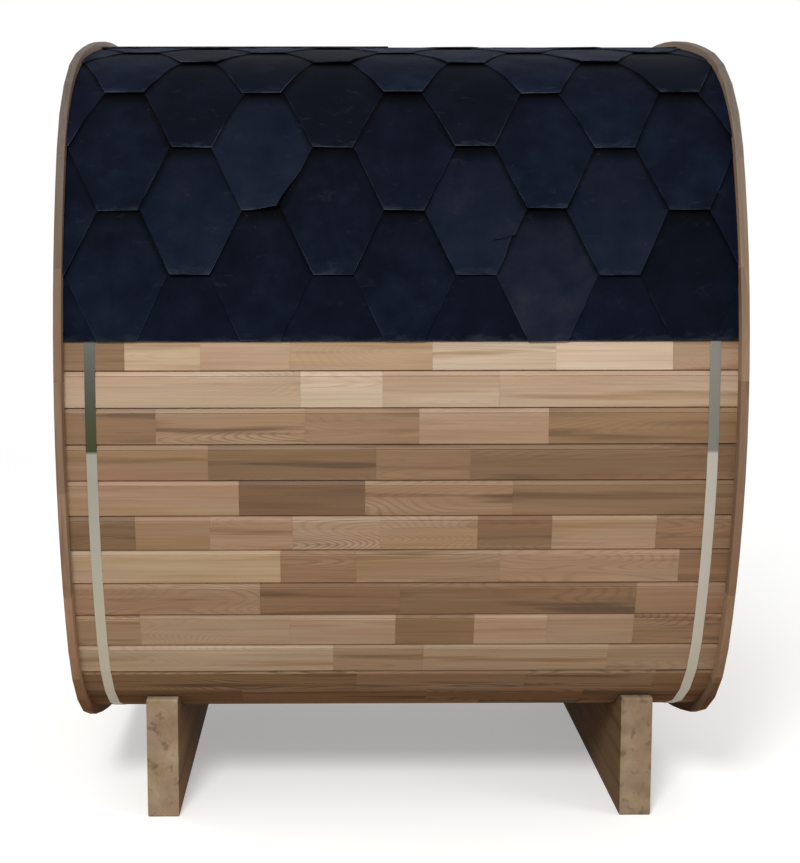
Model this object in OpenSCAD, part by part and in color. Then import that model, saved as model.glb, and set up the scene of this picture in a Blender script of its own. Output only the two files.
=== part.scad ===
// Cube sauna: a rounded-square barrel of cedar staves lying lengthwise on two
// supports, with steel bands, timber rims and a bitumen shingle roof.
// Millimetres. X runs along the barrel, the long side faces -Y, Z is up from the ground.

/* [Barrel] */
// Cover width of one stave
stave_w = 86; // [60:1:120]
// Thickness of the staves
stave_t = 42; // [30:1:60]
// Length of the staves
stave_len = 1556; // [1400:2:3000]
// Staves in each side, in the floor and in the ceiling
side_stave_count = 14; // [10:2:20]
// Staves in each rounded corner
corner_stave_count = 4; // [3:1:8]
// Turn between one side stave and the next, in degrees
side_turn = 2.6; // [1:0.1:3.6]
// Height of the barrel's lowest stave above the ground
ground_gap = 148; // [100:1:260]

/* [Rims] */
// Thickness of the rim boards
rim_t = 20; // [12:1:40]
// Width of the rim boards, towards the barrel's axis
rim_w = 90; // [70:1:120]
// Height of the rim above the staves
rim_proud = 24; // [14:1:40]

/* [Roof] */
// Thickness of the shingle covering
roof_t = 8; // [5:0.5:12]
// Distance from mid-height up to the eave, along the staves
eave_rise = 154; // [40:1:400]
// Gap between the covering and the rims
roof_gap = 1; // [0.5:0.5:6]
// Width of the strip laid over the ridge
ridge_w = 330; // [200:5:400]
// Thickness of the ridge strip
ridge_t = 3; // [2:0.5:5]

/* [Bands] */
// Width of the steel bands
band_w = 25; // [15:1:40]
// Thickness of the steel bands
band_t = 1; // [0.5:0.1:2]
// Distance from the left end of the staves to the middle of the left band
band_left_inset = 60; // [30:1:100]
// Distance from the right end of the staves to the middle of the right band
band_right_inset = 53; // [30:1:100]

/* [End walls] */
// Thickness of the end walls
end_t = 38; // [25:1:50]
// Distance from the end of the staves to an end wall
end_recess = 60; // [40:1:150]
// Depth of the groove that holds an end wall
groove_d = 10; // [5:1:15]

/* [Door] */
// Width of the door leaf
leaf_w = 600; // [500:5:800]
// Height of the wall under the door's frame, from the cabin's floor
sill_h = 90; // [60:5:300]
// Height of the wall over the door's frame, to the cabin's ceiling
head_h = 95; // [60:5:300]
// Thickness of the leaf's planks
leaf_t = 28; // [20:1:40]
// Thickness of the frame round the leaf
frame_t = 32; // [20:1:50]
// Depth of the frame, through the wall
frame_d = 62; // [52:1:100]
// Gap between the leaf and the frame
leaf_gap = 5; // [3:0.5:10]
// Width of the ledges across the leaf
ledge_w = 110; // [60:5:160]
// Thickness of the ledges
ledge_t = 20; // [12:1:30]
// Distance from the leaf's top or bottom to a ledge
ledge_inset = 140; // [60:5:300]
// Radius of the pull handle's bar
pull_r = 15; // [10:1:25]
// Length of the pull handle's bar
pull_len = 320; // [150:10:600]
// Distance from the leaf's planks to the handle's bar
pull_reach = 46; // [35:1:90]
// Distance from the leaf's edge to the middle of the handle's bar
pull_inset = 75; // [50:5:150]
// Height of the handle's middle above the leaf's bottom
pull_rise = 860; // [500:10:1100]
// Length of a hinge
hinge_len = 90; // [60:5:120]
// Radius of a hinge's knuckle
hinge_r = 7; // [5:0.5:10]
// Thickness of a hinge's plates
hinge_t = 3; // [2:0.5:5]

/* [Supports] */
// Thickness of the support timbers, along the barrel
support_t = 80; // [50:1:140]
// Length of the supports, across the barrel
support_len = 1466; // [1200:2:1600]
// Distance from the left end of the staves to the left support
support_left_inset = 149; // [120:1:400]
// Distance from the right end of the staves to the right support
support_right_inset = 131; // [120:1:400]
// Thickness that is left of the upper timber under the barrel
cradle_web = 13; // [8:1:40]
// Height of the upper timber's tips above the barrel's lowest stave
cradle_rise = 159; // [60:1:190]

/* [Fits] */
// Clearance between pieces that fit together
fit = 0.3; // [0.2:0.1:1]

/* [Hidden] */
$fn = 96;

CEDAR = "#a98468";
CEDAR_DARK = "#8a6a50";
SUPPORT_WOOD = "#9a8066";
RIM_WOOD = "#8a7a68";
SHINGLE = "#1a2230";
STEEL = "#a5a593";

// The barrel's outline: a closed ring of straight stave faces, as [y, z] about its axis.
// A heading is the direction of a stave's face, clockwise from straight up.
per_side = side_stave_count + corner_stave_count;
stave_count = 4 * per_side;
corner_turn = (90 - side_stave_count * side_turn) / corner_stave_count;
half_side = side_stave_count / 2;

function heading(j) =
    let (k = floor(j / per_side), i = j - k * per_side)
    90 * k + (i < side_stave_count
        ? (i - half_side + 0.5) * side_turn
        : half_side * side_turn + (i - side_stave_count + 0.5) * corner_turn);

function along(j) = [sin(heading(j)), cos(heading(j))];
function outward(j) = [-cos(heading(j)), sin(heading(j))];

walk = [for (j = 0, v = [0, 0]; j < stave_count; v = v + stave_w * along(j), j = j + 1) v];
middle = [for (v = walk) 1] * walk / stave_count;
ring = [for (v = walk) v - middle];

// Joint j of the ring, d outside the stave faces.
function joint(j, d) =
    let (m = outward(j - 1) + outward(j), i = (j % stave_count + stave_count) % stave_count)
    ring[i] + m * d / (m * outward(j));

// A point on the near side, s above mid-height along the staves and d outside them.
function on_staves(s, d) =
    let (n = s / stave_w, j = half_side + floor(n), whole = abs(n - round(n)) < 1e-6)
    whole ? joint(half_side + round(n), d)
          : joint(j, 0) + (n - floor(n)) * stave_w * along(j) + d * outward(j);

function outline(d) = [for (j = [0:stave_count - 1]) joint(j, d)];

// Every place between s1 and s2 where an outline along the staves turns.
function stops(s1, s2) =
    concat([s1], [for (j = [floor(s1 / stave_w) + 1:ceil(s2 / stave_w) - 1]) j * stave_w], [s2]);

barrel_h = -2 * ring[half_side][0];
axis_z = ground_gap + barrel_h / 2;
half_len = stave_len / 2;
ridge_s = per_side * stave_w;
back_eave = 2 * ridge_s - eave_rise;
side_end = half_side * stave_w;
beam_h = ground_gap - cradle_web;
support_left_x = half_len - support_left_inset - support_t;
support_right_x = half_len - support_right_inset - support_t;
band_left_x = band_left_inset - half_len;
band_right_x = half_len - band_right_inset;

// End walls.
end_outer = half_len - end_recess;
end_inner = end_outer - end_t;
seat_depth = stave_t - groove_d + fit;

// Door, in the middle of the right end wall.
frame_over = fit + frame_t;
opening_w = leaf_w + 2 * (leaf_gap + frame_over);
opening_z = axis_z - barrel_h / 2 + stave_t + sill_h;
opening_h = barrel_h - 2 * stave_t - sill_h - head_h;
leaf_h = opening_h - 2 * (leaf_gap + frame_over);
leaf_z = opening_z + leaf_gap + frame_over;
frame_x = end_outer - end_t / 2 - frame_d / 2;
frame_face = frame_x + frame_d;
leaf_face = frame_face - ledge_t;
leaf_x = leaf_face - leaf_t;
pull_y = pull_inset - leaf_w / 2;
hinge_y = leaf_w / 2 + leaf_gap / 2;

// A flat outline in [y, z] about the barrel's axis, drawn out from x1 to x2.
module barrel_slice(x1, x2) {
    translate([x1, 0, axis_z])
        rotate([90, 0, 90])
            linear_extrude(x2 - x1)
                children();
}

// A closed band round the barrel, between two distances outside the staves.
module loop_round(x1, x2, d1, d2) {
    barrel_slice(x1, x2)
        difference() {
            polygon(outline(d2));
            polygon(outline(d1));
        }
}

// Staves from joint a to joint b, with the grooves for the end walls.
module stave_run(a, b) {
    difference() {
        barrel_slice(-half_len, half_len)
            polygon(concat(
                [for (j = [a:b]) joint(j, 0)],
                [for (j = [b:-1:a]) joint(j, -stave_t)]));
        for (x = [-end_outer - fit, end_inner - fit])
            loop_round(x, x + end_t + 2 * fit, -stave_t - groove_d, groove_d - stave_t);
    }
}

module side_run(k) {
    color(CEDAR) stave_run(k * per_side, k * per_side + side_stave_count);
}

module corner_run(k) {
    color(CEDAR) stave_run(k * per_side + side_stave_count, (k + 1) * per_side);
}

// An end wall's sheet, which sits in the grooves.
module end_sheet() {
    barrel_slice(end_inner, end_outer)
        polygon(outline(-seat_depth));
}

// The part of the right end wall inside a box in y and z.
module right_wall_part(y1, y2, z1, z2) {
    color(CEDAR)
        intersection() {
            end_sheet();
            translate([end_inner - end_t, y1, z1])
                cube([3 * end_t, y2 - y1, z2 - z1]);
        }
}

module left_end_wall() {
    color(CEDAR)
        mirror([1, 0, 0])
            end_sheet();
}

module right_end_wall_front() {
    right_wall_part(-barrel_h, -opening_w / 2, 0, 2 * axis_z);
}

module right_end_wall_back() {
    right_wall_part(opening_w / 2, barrel_h, 0, 2 * axis_z);
}

module right_end_wall_head() {
    right_wall_part(-opening_w / 2, opening_w / 2, opening_z + opening_h, 2 * axis_z);
}

module right_end_wall_sill() {
    right_wall_part(-opening_w / 2, opening_w / 2, 0, opening_z);
}

module door_frame() {
    color(CEDAR_DARK)
        difference() {
            translate([frame_x, fit - opening_w / 2, opening_z + fit])
                cube([frame_d, opening_w - 2 * fit, opening_h - 2 * fit]);
            translate([frame_x - 1, -leaf_w / 2 - leaf_gap, leaf_z - leaf_gap])
                cube([frame_d + 2, leaf_w + 2 * leaf_gap, leaf_h + 2 * leaf_gap]);
        }
}

module door_leaf() {
    color(CEDAR) {
        translate([leaf_x, -leaf_w / 2, leaf_z])
            cube([leaf_t, leaf_w, leaf_h]);
        for (z = [leaf_z + ledge_inset, leaf_z + leaf_h - ledge_inset - ledge_w])
            translate([leaf_face, -leaf_w / 2, z])
                cube([ledge_t, leaf_w, ledge_w]);
    }
}

module door_pull() {
    post = pull_len / 2 - 3 * pull_r;
    color(RIM_WOOD)
        translate([leaf_face + pull_reach, pull_y, leaf_z + pull_rise]) {
            translate([0, 0, -pull_len / 2])
                cylinder(h = pull_len, r = pull_r);
            for (z = [-post, post])
                translate([-pull_reach, 0, z])
                    rotate([0, 90, 0])
                        cylinder(h = pull_reach, r = pull_r * 0.6);
        }
}

// Butt hinges on the faces of the leaf's ledges and of the frame.
module door_hinges() {
    plate = frame_t * 0.8;
    color(STEEL)
        for (z = [leaf_z + ledge_inset + ledge_w / 2, leaf_z + leaf_h - ledge_inset - ledge_w / 2])
            translate([frame_face, hinge_y, z - hinge_len / 2]) {
                translate([hinge_r, 0, 0])
                    cylinder(h = hinge_len, r = hinge_r);
                translate([0, -plate, 0])
                    cube([hinge_t, 2 * plate, hinge_len]);
            }
}

// Shingle covering from s1 to s2 along the staves, cut out over the bands.
module roof_run(s1, s2) {
    places = stops(s1, s2);
    last = len(places) - 1;
    color(SHINGLE)
        difference() {
            barrel_slice(roof_gap - half_len, half_len - roof_gap)
                polygon(concat(
                    [for (s = places) on_staves(s, roof_t)],
                    [for (i = [last:-1:0]) on_staves(places[i], 0)]));
            for (x = [band_left_x, band_right_x])
                band_loop(x, fit);
        }
}

module roof_front_side() { roof_run(eave_rise, side_end); }
module roof_front_corner() { roof_run(side_end, ridge_s - side_end); }
module roof_top() { roof_run(ridge_s - side_end, ridge_s + side_end); }
module roof_back_corner() { roof_run(ridge_s + side_end, 2 * ridge_s - side_end); }
module roof_back_side() { roof_run(2 * ridge_s - side_end, back_eave); }

// A strip of shingles along the ridge, on top of the covering.
module ridge_strip() {
    places = stops(ridge_s - ridge_w / 2, ridge_s + ridge_w / 2);
    last = len(places) - 1;
    color(SHINGLE)
        barrel_slice(roof_gap - half_len, half_len - roof_gap)
            polygon(concat(
                [for (s = places) on_staves(s, roof_t + ridge_t)],
                [for (i = [last:-1:0]) on_staves(places[i], roof_t)]));
}

// A steel band round x; spare widens it into the space that the roof leaves for it.
module band_loop(x, spare) {
    loop_round(x - band_w / 2 - spare, x + band_w / 2 + spare, -spare, band_t + spare);
}

module band_left() { color(STEEL) band_loop(band_left_x, 0); }
module band_right() { color(STEEL) band_loop(band_right_x, 0); }

// A rim board on the right-hand end of the staves, from joint a to joint b.
module rim_run(a, b) {
    color(RIM_WOOD)
        barrel_slice(half_len, half_len + rim_t)
            polygon(concat(
                [for (j = [a:b]) joint(j, rim_proud)],
                [for (j = [b:-1:a]) joint(j, rim_proud - rim_w)]));
}

// Side and corner boards of the right rim, k quarter turns round from the near side.
module rim_side(k) { rim_run(k * per_side, k * per_side + side_stave_count); }
module rim_corner(k) { rim_run(k * per_side + side_stave_count, (k + 1) * per_side); }

module left() {
    mirror([1, 0, 0])
        children();
}

// The lower timber of the support whose inner face is at x.
module support_beam(x) {
    color(SUPPORT_WOOD)
        translate([x, -support_len / 2, 0])
            cube([support_t, support_len, beam_h]);
}

// The upper timber, cut to the underside of the barrel.
module support_cradle(x) {
    color(SUPPORT_WOOD)
        difference() {
            translate([x, -support_len / 2, beam_h])
                cube([support_t, support_len, cradle_web + cradle_rise]);
            barrel_slice(x - 1, x + support_t + 1)
                polygon(outline(fit));
        }
}

side_run(0);  // front_wall
corner_run(0);  // corner_front_top
side_run(1);  // ceiling
corner_run(1);  // corner_back_top
side_run(2);  // back_wall
corner_run(2);  // corner_back_bottom
side_run(3);  // floor
corner_run(3);  // corner_front_bottom
left_end_wall();
right_end_wall_front();
right_end_wall_back();
right_end_wall_head();
right_end_wall_sill();
door_frame();
door_leaf();
door_pull();
door_hinges();
roof_front_side();
roof_front_corner();
roof_top();
roof_back_corner();
roof_back_side();
ridge_strip();
band_left();
band_right();
left() rim_side(0);  // rim_left_front
left() rim_corner(0);  // rim_left_front_top
left() rim_side(1);  // rim_left_top
left() rim_corner(1);  // rim_left_back_top
left() rim_side(2);  // rim_left_back
left() rim_corner(2);  // rim_left_back_bottom
left() rim_side(3);  // rim_left_bottom
left() rim_corner(3);  // rim_left_front_bottom
rim_side(0);  // rim_right_front
rim_corner(0);  // rim_right_front_top
rim_side(1);  // rim_right_top
rim_corner(1);  // rim_right_back_top
rim_side(2);  // rim_right_back
rim_corner(2);  // rim_right_back_bottom
rim_side(3);  // rim_right_bottom
rim_corner(3);  // rim_right_front_bottom
left() support_beam(support_left_x);  // support_left_beam
left() support_cradle(support_left_x);  // support_left_cradle
support_beam(support_right_x);  // support_right_beam
support_cradle(support_right_x);  // support_right_cradle
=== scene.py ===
# %% [markdown]
# # A cube sauna, dressed in Blender
# The real object is a small garden sauna: a barrel of horizontal cedar staves whose
# section is a rounded square. Two steel bands hold it, short boards rim its ends,
# hexagonal bitumen shingles roof it, and it lies on two timber supports. Its
# construction is already settled at full size. This script loads that as a fixed
# frame, reads every size from it, and makes each surface the way the real one is made.

# %% Load the frame
import math
import random
from functools import partial

import bmesh
import bpy
from mathutils import Matrix, Vector


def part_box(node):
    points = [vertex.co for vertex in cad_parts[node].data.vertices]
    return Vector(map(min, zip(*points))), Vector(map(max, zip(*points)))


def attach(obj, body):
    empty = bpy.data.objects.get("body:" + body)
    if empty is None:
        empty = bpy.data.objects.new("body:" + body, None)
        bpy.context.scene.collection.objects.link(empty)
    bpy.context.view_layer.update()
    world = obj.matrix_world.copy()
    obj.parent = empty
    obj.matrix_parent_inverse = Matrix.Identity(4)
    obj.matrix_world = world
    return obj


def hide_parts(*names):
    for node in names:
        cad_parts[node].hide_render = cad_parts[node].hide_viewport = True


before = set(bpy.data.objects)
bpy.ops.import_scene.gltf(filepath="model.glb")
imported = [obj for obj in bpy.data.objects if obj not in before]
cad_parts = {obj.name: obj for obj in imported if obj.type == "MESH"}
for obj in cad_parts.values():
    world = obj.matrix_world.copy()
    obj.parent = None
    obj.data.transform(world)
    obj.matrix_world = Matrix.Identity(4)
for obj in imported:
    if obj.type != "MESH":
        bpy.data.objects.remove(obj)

MM = 0.001
WELD = 0.01 * MM  # points nearer than this are one point
X_AXIS, Y_AXIS, Z_AXIS = Vector((1, 0, 0)), Vector((0, 1, 0)), Vector((0, 0, 1))
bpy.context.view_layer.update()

# %% [markdown]
# ## The camera comes first
# It stands at the height of a grown person's chin, three metres from the near side
# and a little left of the middle, and looks slightly down. The lens is a short
# portrait length, and a small shift sets the sauna in the middle of the view.

# %% Camera
CAMERA_LEFT = 0.161  # of the sauna's middle
CAMERA_BACK = 2.952  # from the near side
CAMERA_HEIGHT = 1.462
CAMERA_PITCH = 5.71  # degrees down
CAMERA_YAW = 0.32  # degrees to the right
CAMERA_ROLL = -0.08
LENS, SENSOR = 53.75, 36  # mm
SHIFT_X, SHIFT_Y = 0.071, -0.0756  # of the sensor's width


def new_object(name, data):
    """A new object, in the scene."""
    obj = bpy.data.objects.new(name, data)
    bpy.context.scene.collection.objects.link(obj)
    return obj


def add_camera():
    data = bpy.data.cameras.new("camera")
    data.lens, data.sensor_width = LENS, SENSOR
    data.shift_x, data.shift_y = SHIFT_X, SHIFT_Y
    camera = new_object("camera", data)
    turn = Matrix.Rotation(math.radians(-CAMERA_YAW), 4, "Z")
    tilt = Matrix.Rotation(math.radians(90 - CAMERA_PITCH), 4, "X")
    roll = Matrix.Rotation(math.radians(CAMERA_ROLL), 4, "Z")
    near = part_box("front_wall")[0].y
    place = Matrix.Translation((-CAMERA_LEFT, near - CAMERA_BACK, CAMERA_HEIGHT))
    camera.matrix_world = place @ turn @ tilt @ roll
    bpy.context.scene.camera = camera
    print("camera at", [round(v, 3) for v in camera.matrix_world.translation])


add_camera()

# %% [markdown]
# ## The barrel's outline
# Seen from its end, the barrel is a ring of straight stave faces. Fourteen staves make
# each side, and each turns 2.6 degrees from the last, so a side is gently bowed. Four
# staves with a sharper turn make each corner. Everything on the barrel is placed from
# this ring: a joint has a number, and a place on the roof has a distance round it.

# %% The ring of staves
STAVE_W = 86 * MM
STAVE_T = 42 * MM
SIDE_STAVES = 14
CORNER_STAVES = 4
SIDE_TURN = 2.6  # degrees from stave to stave
PER_SIDE = SIDE_STAVES + CORNER_STAVES  # a side and its corner
STAVES = 4 * PER_SIDE
CORNER_TURN = (90 - SIDE_STAVES * SIDE_TURN) / CORNER_STAVES
MID_SIDE = SIDE_STAVES // 2  # the joint halfway up the near side
AXIS_Z = (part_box("floor")[0].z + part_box("ceiling")[1].z) / 2  # the barrel's middle
STAVE_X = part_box("front_wall")[1].x  # half the staves' length
RIDGE_S = PER_SIDE * STAVE_W  # from mid-side round to the ridge


def heading(j):
    """Direction of stave j's face in radians, clockwise from straight up."""
    k, i = divmod(j, PER_SIDE)
    if i < SIDE_STAVES:
        turn = (i - MID_SIDE + 0.5) * SIDE_TURN
    else:
        turn = MID_SIDE * SIDE_TURN + (i - SIDE_STAVES + 0.5) * CORNER_TURN
    return math.radians(90 * k + turn)


def along(j):
    """The direction from joint j to the next."""
    return Vector((0, math.sin(heading(j)), math.cos(heading(j))))


def outward(j):
    """The direction that stave j's face looks in."""
    return Vector((0, -math.cos(heading(j)), math.sin(heading(j))))


def make_ring():
    """The joints' places: a walk from stave to stave, centred on the barrel's middle."""
    walk = [Vector()]
    for j in range(STAVES - 1):
        walk.append(walk[-1] + STAVE_W * along(j))
    middle = sum(walk, Vector()) / STAVES
    return [v - middle + AXIS_Z * Z_AXIS for v in walk]


RING = make_ring()


def joint(j, d=0.0):
    """The joint before stave j, at a distance d outside the stave faces."""
    across = outward(j - 1) + outward(j)
    return RING[j % STAVES] + across * d / across.dot(outward(j))


ring_error = joint(MID_SIDE).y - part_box("front_wall")[0].y
print(f"ring: {STAVES} staves, {abs(ring_error) / MM:.3f} mm from the frame")

# %% [markdown]
# ## Colours and nodes
# Colours are written as sRGB hex, as a paint chart gives them, and one function turns
# them into the linear values that Blender's sockets take. One function adds a node to
# a material or to a Geometry Nodes tree: node("MATH ADD", a, b) is a node that adds. A
# range's inputs are its value, where that starts and ends, and what it becomes there.
# A noise texture at scale 1 has cells about a metre wide, so its coordinates are
# multiplied by how many cells fit in a metre, and that number comes from the size of
# the real thing in millimetres.

# %% Colour and node helpers
# Short names for the kinds of node that are used most.
KINDS = {"MATH": "ShaderNodeMath", "VECTOR": "ShaderNodeVectorMath", "MIX": "ShaderNodeMix",
         "RANGE": "ShaderNodeMapRange", "RAMP": "ShaderNodeValToRGB", "NOISE": "ShaderNodeTexNoise",
         "SPLIT": "ShaderNodeSeparateXYZ", "COMBINE": "ShaderNodeCombineXYZ",
         "CARRIED": "ShaderNodeAttribute", "STORED": "GeometryNodeInputNamedAttribute"}


def linear(hex_colour):
    """Linear RGBA from an sRGB hex string."""
    parts = [int(hex_colour[i : i + 2], 16) / 255 for i in (1, 3, 5)]
    return [c / 12.92 if c <= 0.04045 else ((c + 0.055) / 1.055) ** 2.4 for c in parts] + [1]


def per_metre(*sizes):
    """How many cells of these sizes in mm fit in a metre."""
    return tuple(1000 / size for size in sizes)


def add(tree, kind, *inputs, stops=(), **settings):
    """Adds a node of a kind, which may name its operation too. Its inputs are in order or
    in one dict: values, sockets, or nodes, which give their first output."""
    kind, *operation = kind.split()
    node = tree.nodes.new(KINDS.get(kind, kind))
    if operation:
        node.operation = operation[0]
    for name, value in settings.items():
        setattr(node, name, value)
    named = inputs and isinstance(inputs[0], dict)
    for key, value in inputs[0].items() if named else enumerate(inputs):
        if isinstance(value, bpy.types.Node):
            value = next(socket for socket in value.outputs if socket.enabled)
        if isinstance(value, bpy.types.NodeSocket):
            tree.links.new(value, node.inputs[key])
        else:
            node.inputs[key].default_value = value
    while stops and len(node.color_ramp.elements) < len(stops):
        node.color_ramp.elements.new(0.5)
    for k, (position, colour) in enumerate(stops):
        node.color_ramp.elements[k].position = position
        node.color_ramp.elements[k].color = linear(colour)
    return node


def new_material(name):
    """An empty material, and the function that adds nodes to it."""
    material = bpy.data.materials.new(name)
    material.use_nodes = True
    material.node_tree.nodes.clear()
    return material, partial(add, material.node_tree)


def end_material(node, colour, rough, height, strength, depth, **shader):
    """The last nodes of a material: bumps of a depth in mm, and the shader with its constants."""
    bump = node("ShaderNodeBump", {"Strength": strength, "Distance": depth * MM, "Height": height})
    shader = {key.replace("_", " "): value for key, value in shader.items()}
    shader |= {"Base Color": colour, "Roughness": rough, "Normal": bump}
    node("ShaderNodeOutputMaterial", {"Surface": node("ShaderNodeBsdfPrincipled", shader)})


print("linear mid grey:", round(linear("#808080")[0], 3))

# %% [markdown]
# ## Wood
# Sawn wood shows three things at once: long streaks where the fibres differ, growth
# rings that the saw has cut into lines and pointed arches, and a tone that changes
# from one board to the next. The rings could be a Wave texture, but its lines stay too
# even. Here they are the contour lines of a smooth, stretched noise, which closes into
# arches by itself. All of it is measured in a `grain` attribute that every wooden mesh
# carries: metres along the board, across it and into it, moved by a random step for
# each board so that no two are cut from the same tree. A `tone` says how pale the
# board is, and a `figure` how strong its rings and dark streaks are.

# %% What the noises in wood stand for
# Name: length along the board and width across it in mm, octaves, roughness.
GRAIN_NOISES = {
    "streak": (380, 6, 6, 0.62),  # bundles of fibres
    "fibre": (70, 1.1, 3, 0.7),  # single fibres, drawn three times their real width
    "swell": (1100, 125, 1.5, 0.35),  # the slow bend of the growth rings
    "drift": (590, 55, 2, 0.5),  # where the figure is clear, and where it fades
    "heart": (600, 26, 3, 0.5),  # dark heartwood
    "cast": (1100, 110, 1, 0.5),  # from a pinker to a yellower brown
}
print("streaks to the metre:", round(per_metre(GRAIN_NOISES["streak"][1])[0]))

# %% Grain


def grain_noises(node):
    """The place in the wood's grain, and each noise there."""
    grain = node("CARRIED", attribute_name="grain").outputs["Vector"]
    noise = {}
    for key, (length, width, octaves, rough) in GRAIN_NOISES.items():
        at = node("VECTOR MULTIPLY", grain, per_metre(length, width, width))
        noise[key] = node("NOISE", {"Vector": at, "Scale": 1, "Detail": octaves, "Roughness": rough})
    return grain, noise


def growth_rings(node, noise, rings):
    """A sine of the swell, sharpened to thin lines of dark late wood."""
    wobble = node("MATH MULTIPLY", noise["streak"], 1.6)
    phase = node("MATH MULTIPLY_ADD", noise["swell"], rings * math.tau, wobble)
    wave = node("MATH MULTIPLY_ADD", node("MATH SINE", phase), 0.5, 0.5)
    line = node("MATH POWER", wave, 3.0)
    clear = node("RANGE", noise["drift"], 0.40, 0.60, 0.25)
    return node("MATH MULTIPLY", line, clear)


def board_colour(node, noise, tone, figure, tones, mottle):
    """The board's tone, with a slow drift along it and streaks of darker heartwood."""
    middle = node("MATH SUBTRACT", noise["drift"], 0.5)
    shade = node("MATH MULTIPLY_ADD", middle, mottle, tone)
    vein = node("RANGE", noise["heart"], 0.56, 0.72, 0.0, -0.26)
    shade = node("MATH MULTIPLY_ADD", vein, figure, shade)
    base = node("RAMP", shade, stops=[(i / (len(tones) - 1), c) for i, c in enumerate(tones)])
    cast = node("RAMP", noise["cast"], stops=[(0.38, "#fff6f2"), (0.5, "#ffffff"), (0.62, "#fffcf0")])
    return node("VECTOR MULTIPLY", base, cast)


print(len(GRAIN_NOISES), "noises make the grain")

# %% Wood material


def side_shade_and_weather(node, colour, noise, normal, shaded_sides, weathered):
    """Paints shade on the long sides, darker and browner, and leaves the sawn ends as they
    are. Rain greys the wood towards the top, and less where it faces sideways."""
    sideways = node("MATH ABSOLUTE", normal["X"])
    # painted shade on the long sides, darker and browner
    if shaded_sides:
        side_shade = node("RAMP", sideways, stops=[(0.3, "#ffffff"), (1, shaded_sides)])
        colour = node("VECTOR MULTIPLY", colour, side_shade)
    if weathered:
        place = node("SPLIT", node("ShaderNodeTexCoord").outputs["Object"]).outputs["Z"]
        wet = node("RANGE", place, weathered[0], weathered[1], 0.0, 0.85)
        bare = node("MATH MULTIPLY_ADD", sideways, -0.6, 1.0)
        wet = node("MATH MULTIPLY", wet, bare)
        grey = node("RAMP", noise["streak"], stops=[(0.3, "#403c38"), (0.7, "#5f5a54")])
        colour = node("MIX", {"Factor": wet, "A": colour, "B": grey}, data_type="RGBA")
    return colour


def wood(name, tones, ring_share=0.12, streak_share=0.25, rings=80, roughness=0.62, shine=0.5, mottle=0.32,
         knots=0.0, shaded_sides=None, weathered=None):
    """Sawn wood. tones are hex colours from the darkest board to the palest. The colour given
    for the long sides paints shade on them, and weathered the heights where grey starts and ends."""
    material, node = new_material(name)
    tone, figure = (node("CARRIED", attribute_name=key).outputs["Fac"] for key in ("tone", "figure"))
    normal = node("SPLIT", node("ShaderNodeNewGeometry").outputs["Normal"]).outputs
    grain, noise = grain_noises(node)
    late = growth_rings(node, noise, rings)

    # What darkens it: rings, streaks, fibres and knots.
    figured = node("MATH POWER", figure, 2.0)
    ring_depth = node("MATH MULTIPLY", figured, ring_share)
    dark = node("MATH MULTIPLY", late, ring_depth)
    for key, share in (("streak", 2.4 * streak_share), ("fibre", 0.10)):
        around = node("MATH SUBTRACT", noise[key], 0.46)
        dark = node("MATH MULTIPLY_ADD", around, share, dark)
    if knots:
        at = node("VECTOR MULTIPLY", grain, per_metre(220, 90, 90))
        cell = node("ShaderNodeTexVoronoi", {"Vector": at, "Scale": 1})
        eye = node("RANGE", cell, 0.05, 0.24, knots, 0.0)
        dark = node("MATH ADD", dark, eye)
    light = node("MATH SUBTRACT", 1.0, dark)
    plain = board_colour(node, noise, tone, figure, tones, mottle)
    colour = node("VECTOR SCALE", {0: plain, "Scale": light})
    if shaded_sides or weathered:
        colour = side_shade_and_weather(node, colour, noise, normal, shaded_sides, weathered)

    groove = node("MATH MULTIPLY", late, -0.5)
    height = node("MATH MULTIPLY_ADD", noise["fibre"], 0.5, groove)
    rough = node("MATH MULTIPLY_ADD", noise["streak"], 0.2, roughness - 0.1)
    under = node("RANGE", normal["Z"], -0.8, -0.45, 0.5, 0.0)  # nothing rubs the underside smooth
    rough = node("MATH ADD", rough, under, use_clamp=True)
    end_material(node, colour, rough, height, 0.35, 0.4, Specular_IOR_Level=shine)
    return material


# Red cedar, planed and oiled: a soft sheen, and tones from chocolate to straw.
CEDAR_TONES = ["#57412c", "#72583f", "#907459", "#aa927a", "#c2b19c", "#dcd3bb"]
stave_wood = wood("oiled_red_cedar", CEDAR_TONES)
print(stave_wood.name, len(stave_wood.node_tree.nodes), "nodes")

# %% [markdown]
# ## Making pieces
# Every finished piece is a plain mesh whose object sits at the origin, rides on the
# sauna's one body and names the material slot it belongs to. Geometry Nodes trees are
# built in code, run once on a guide mesh of points with named values, and their result
# is kept as that plain mesh.

# %% Piece helpers
SHARP = 8  # degrees, past which an edge is shaded as a corner


def keep(name, mesh, replaced, material=None, sharp=SHARP):
    """Makes mesh a piece of the sauna that stands for the replaced nodes."""
    mesh.name = name
    if material:
        mesh.materials.clear()
        mesh.materials.append(material)
    mesh.polygons.foreach_set("use_smooth", [True] * len(mesh.polygons))
    mesh.set_sharp_from_angle(angle=math.radians(sharp))
    piece = new_object(name, mesh)
    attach(piece, "root")
    if replaced:
        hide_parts(*replaced)
    print(f"{name}: {sum(len(p.vertices) - 2 for p in mesh.polygons)} triangles")


def set_attribute(mesh, name, values):
    """Stores one number or vector a vertex."""
    if isinstance(values[0], (int, float)):
        mesh.attributes.new(name, "FLOAT", "POINT").data.foreach_set("value", values)
    else:
        layer = mesh.attributes.new(name, "FLOAT_VECTOR", "POINT")
        layer.data.foreach_set("vector", [c for v in values for c in v])


def shape_mesh(name, points, faces=(), **attributes):
    """A mesh with named values. Without faces it is a guide of loose points."""
    mesh = bpy.data.meshes.new(name)
    mesh.from_pydata(points, [], faces)
    for key, values in attributes.items():
        set_attribute(mesh, key, values)
    return mesh


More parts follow.
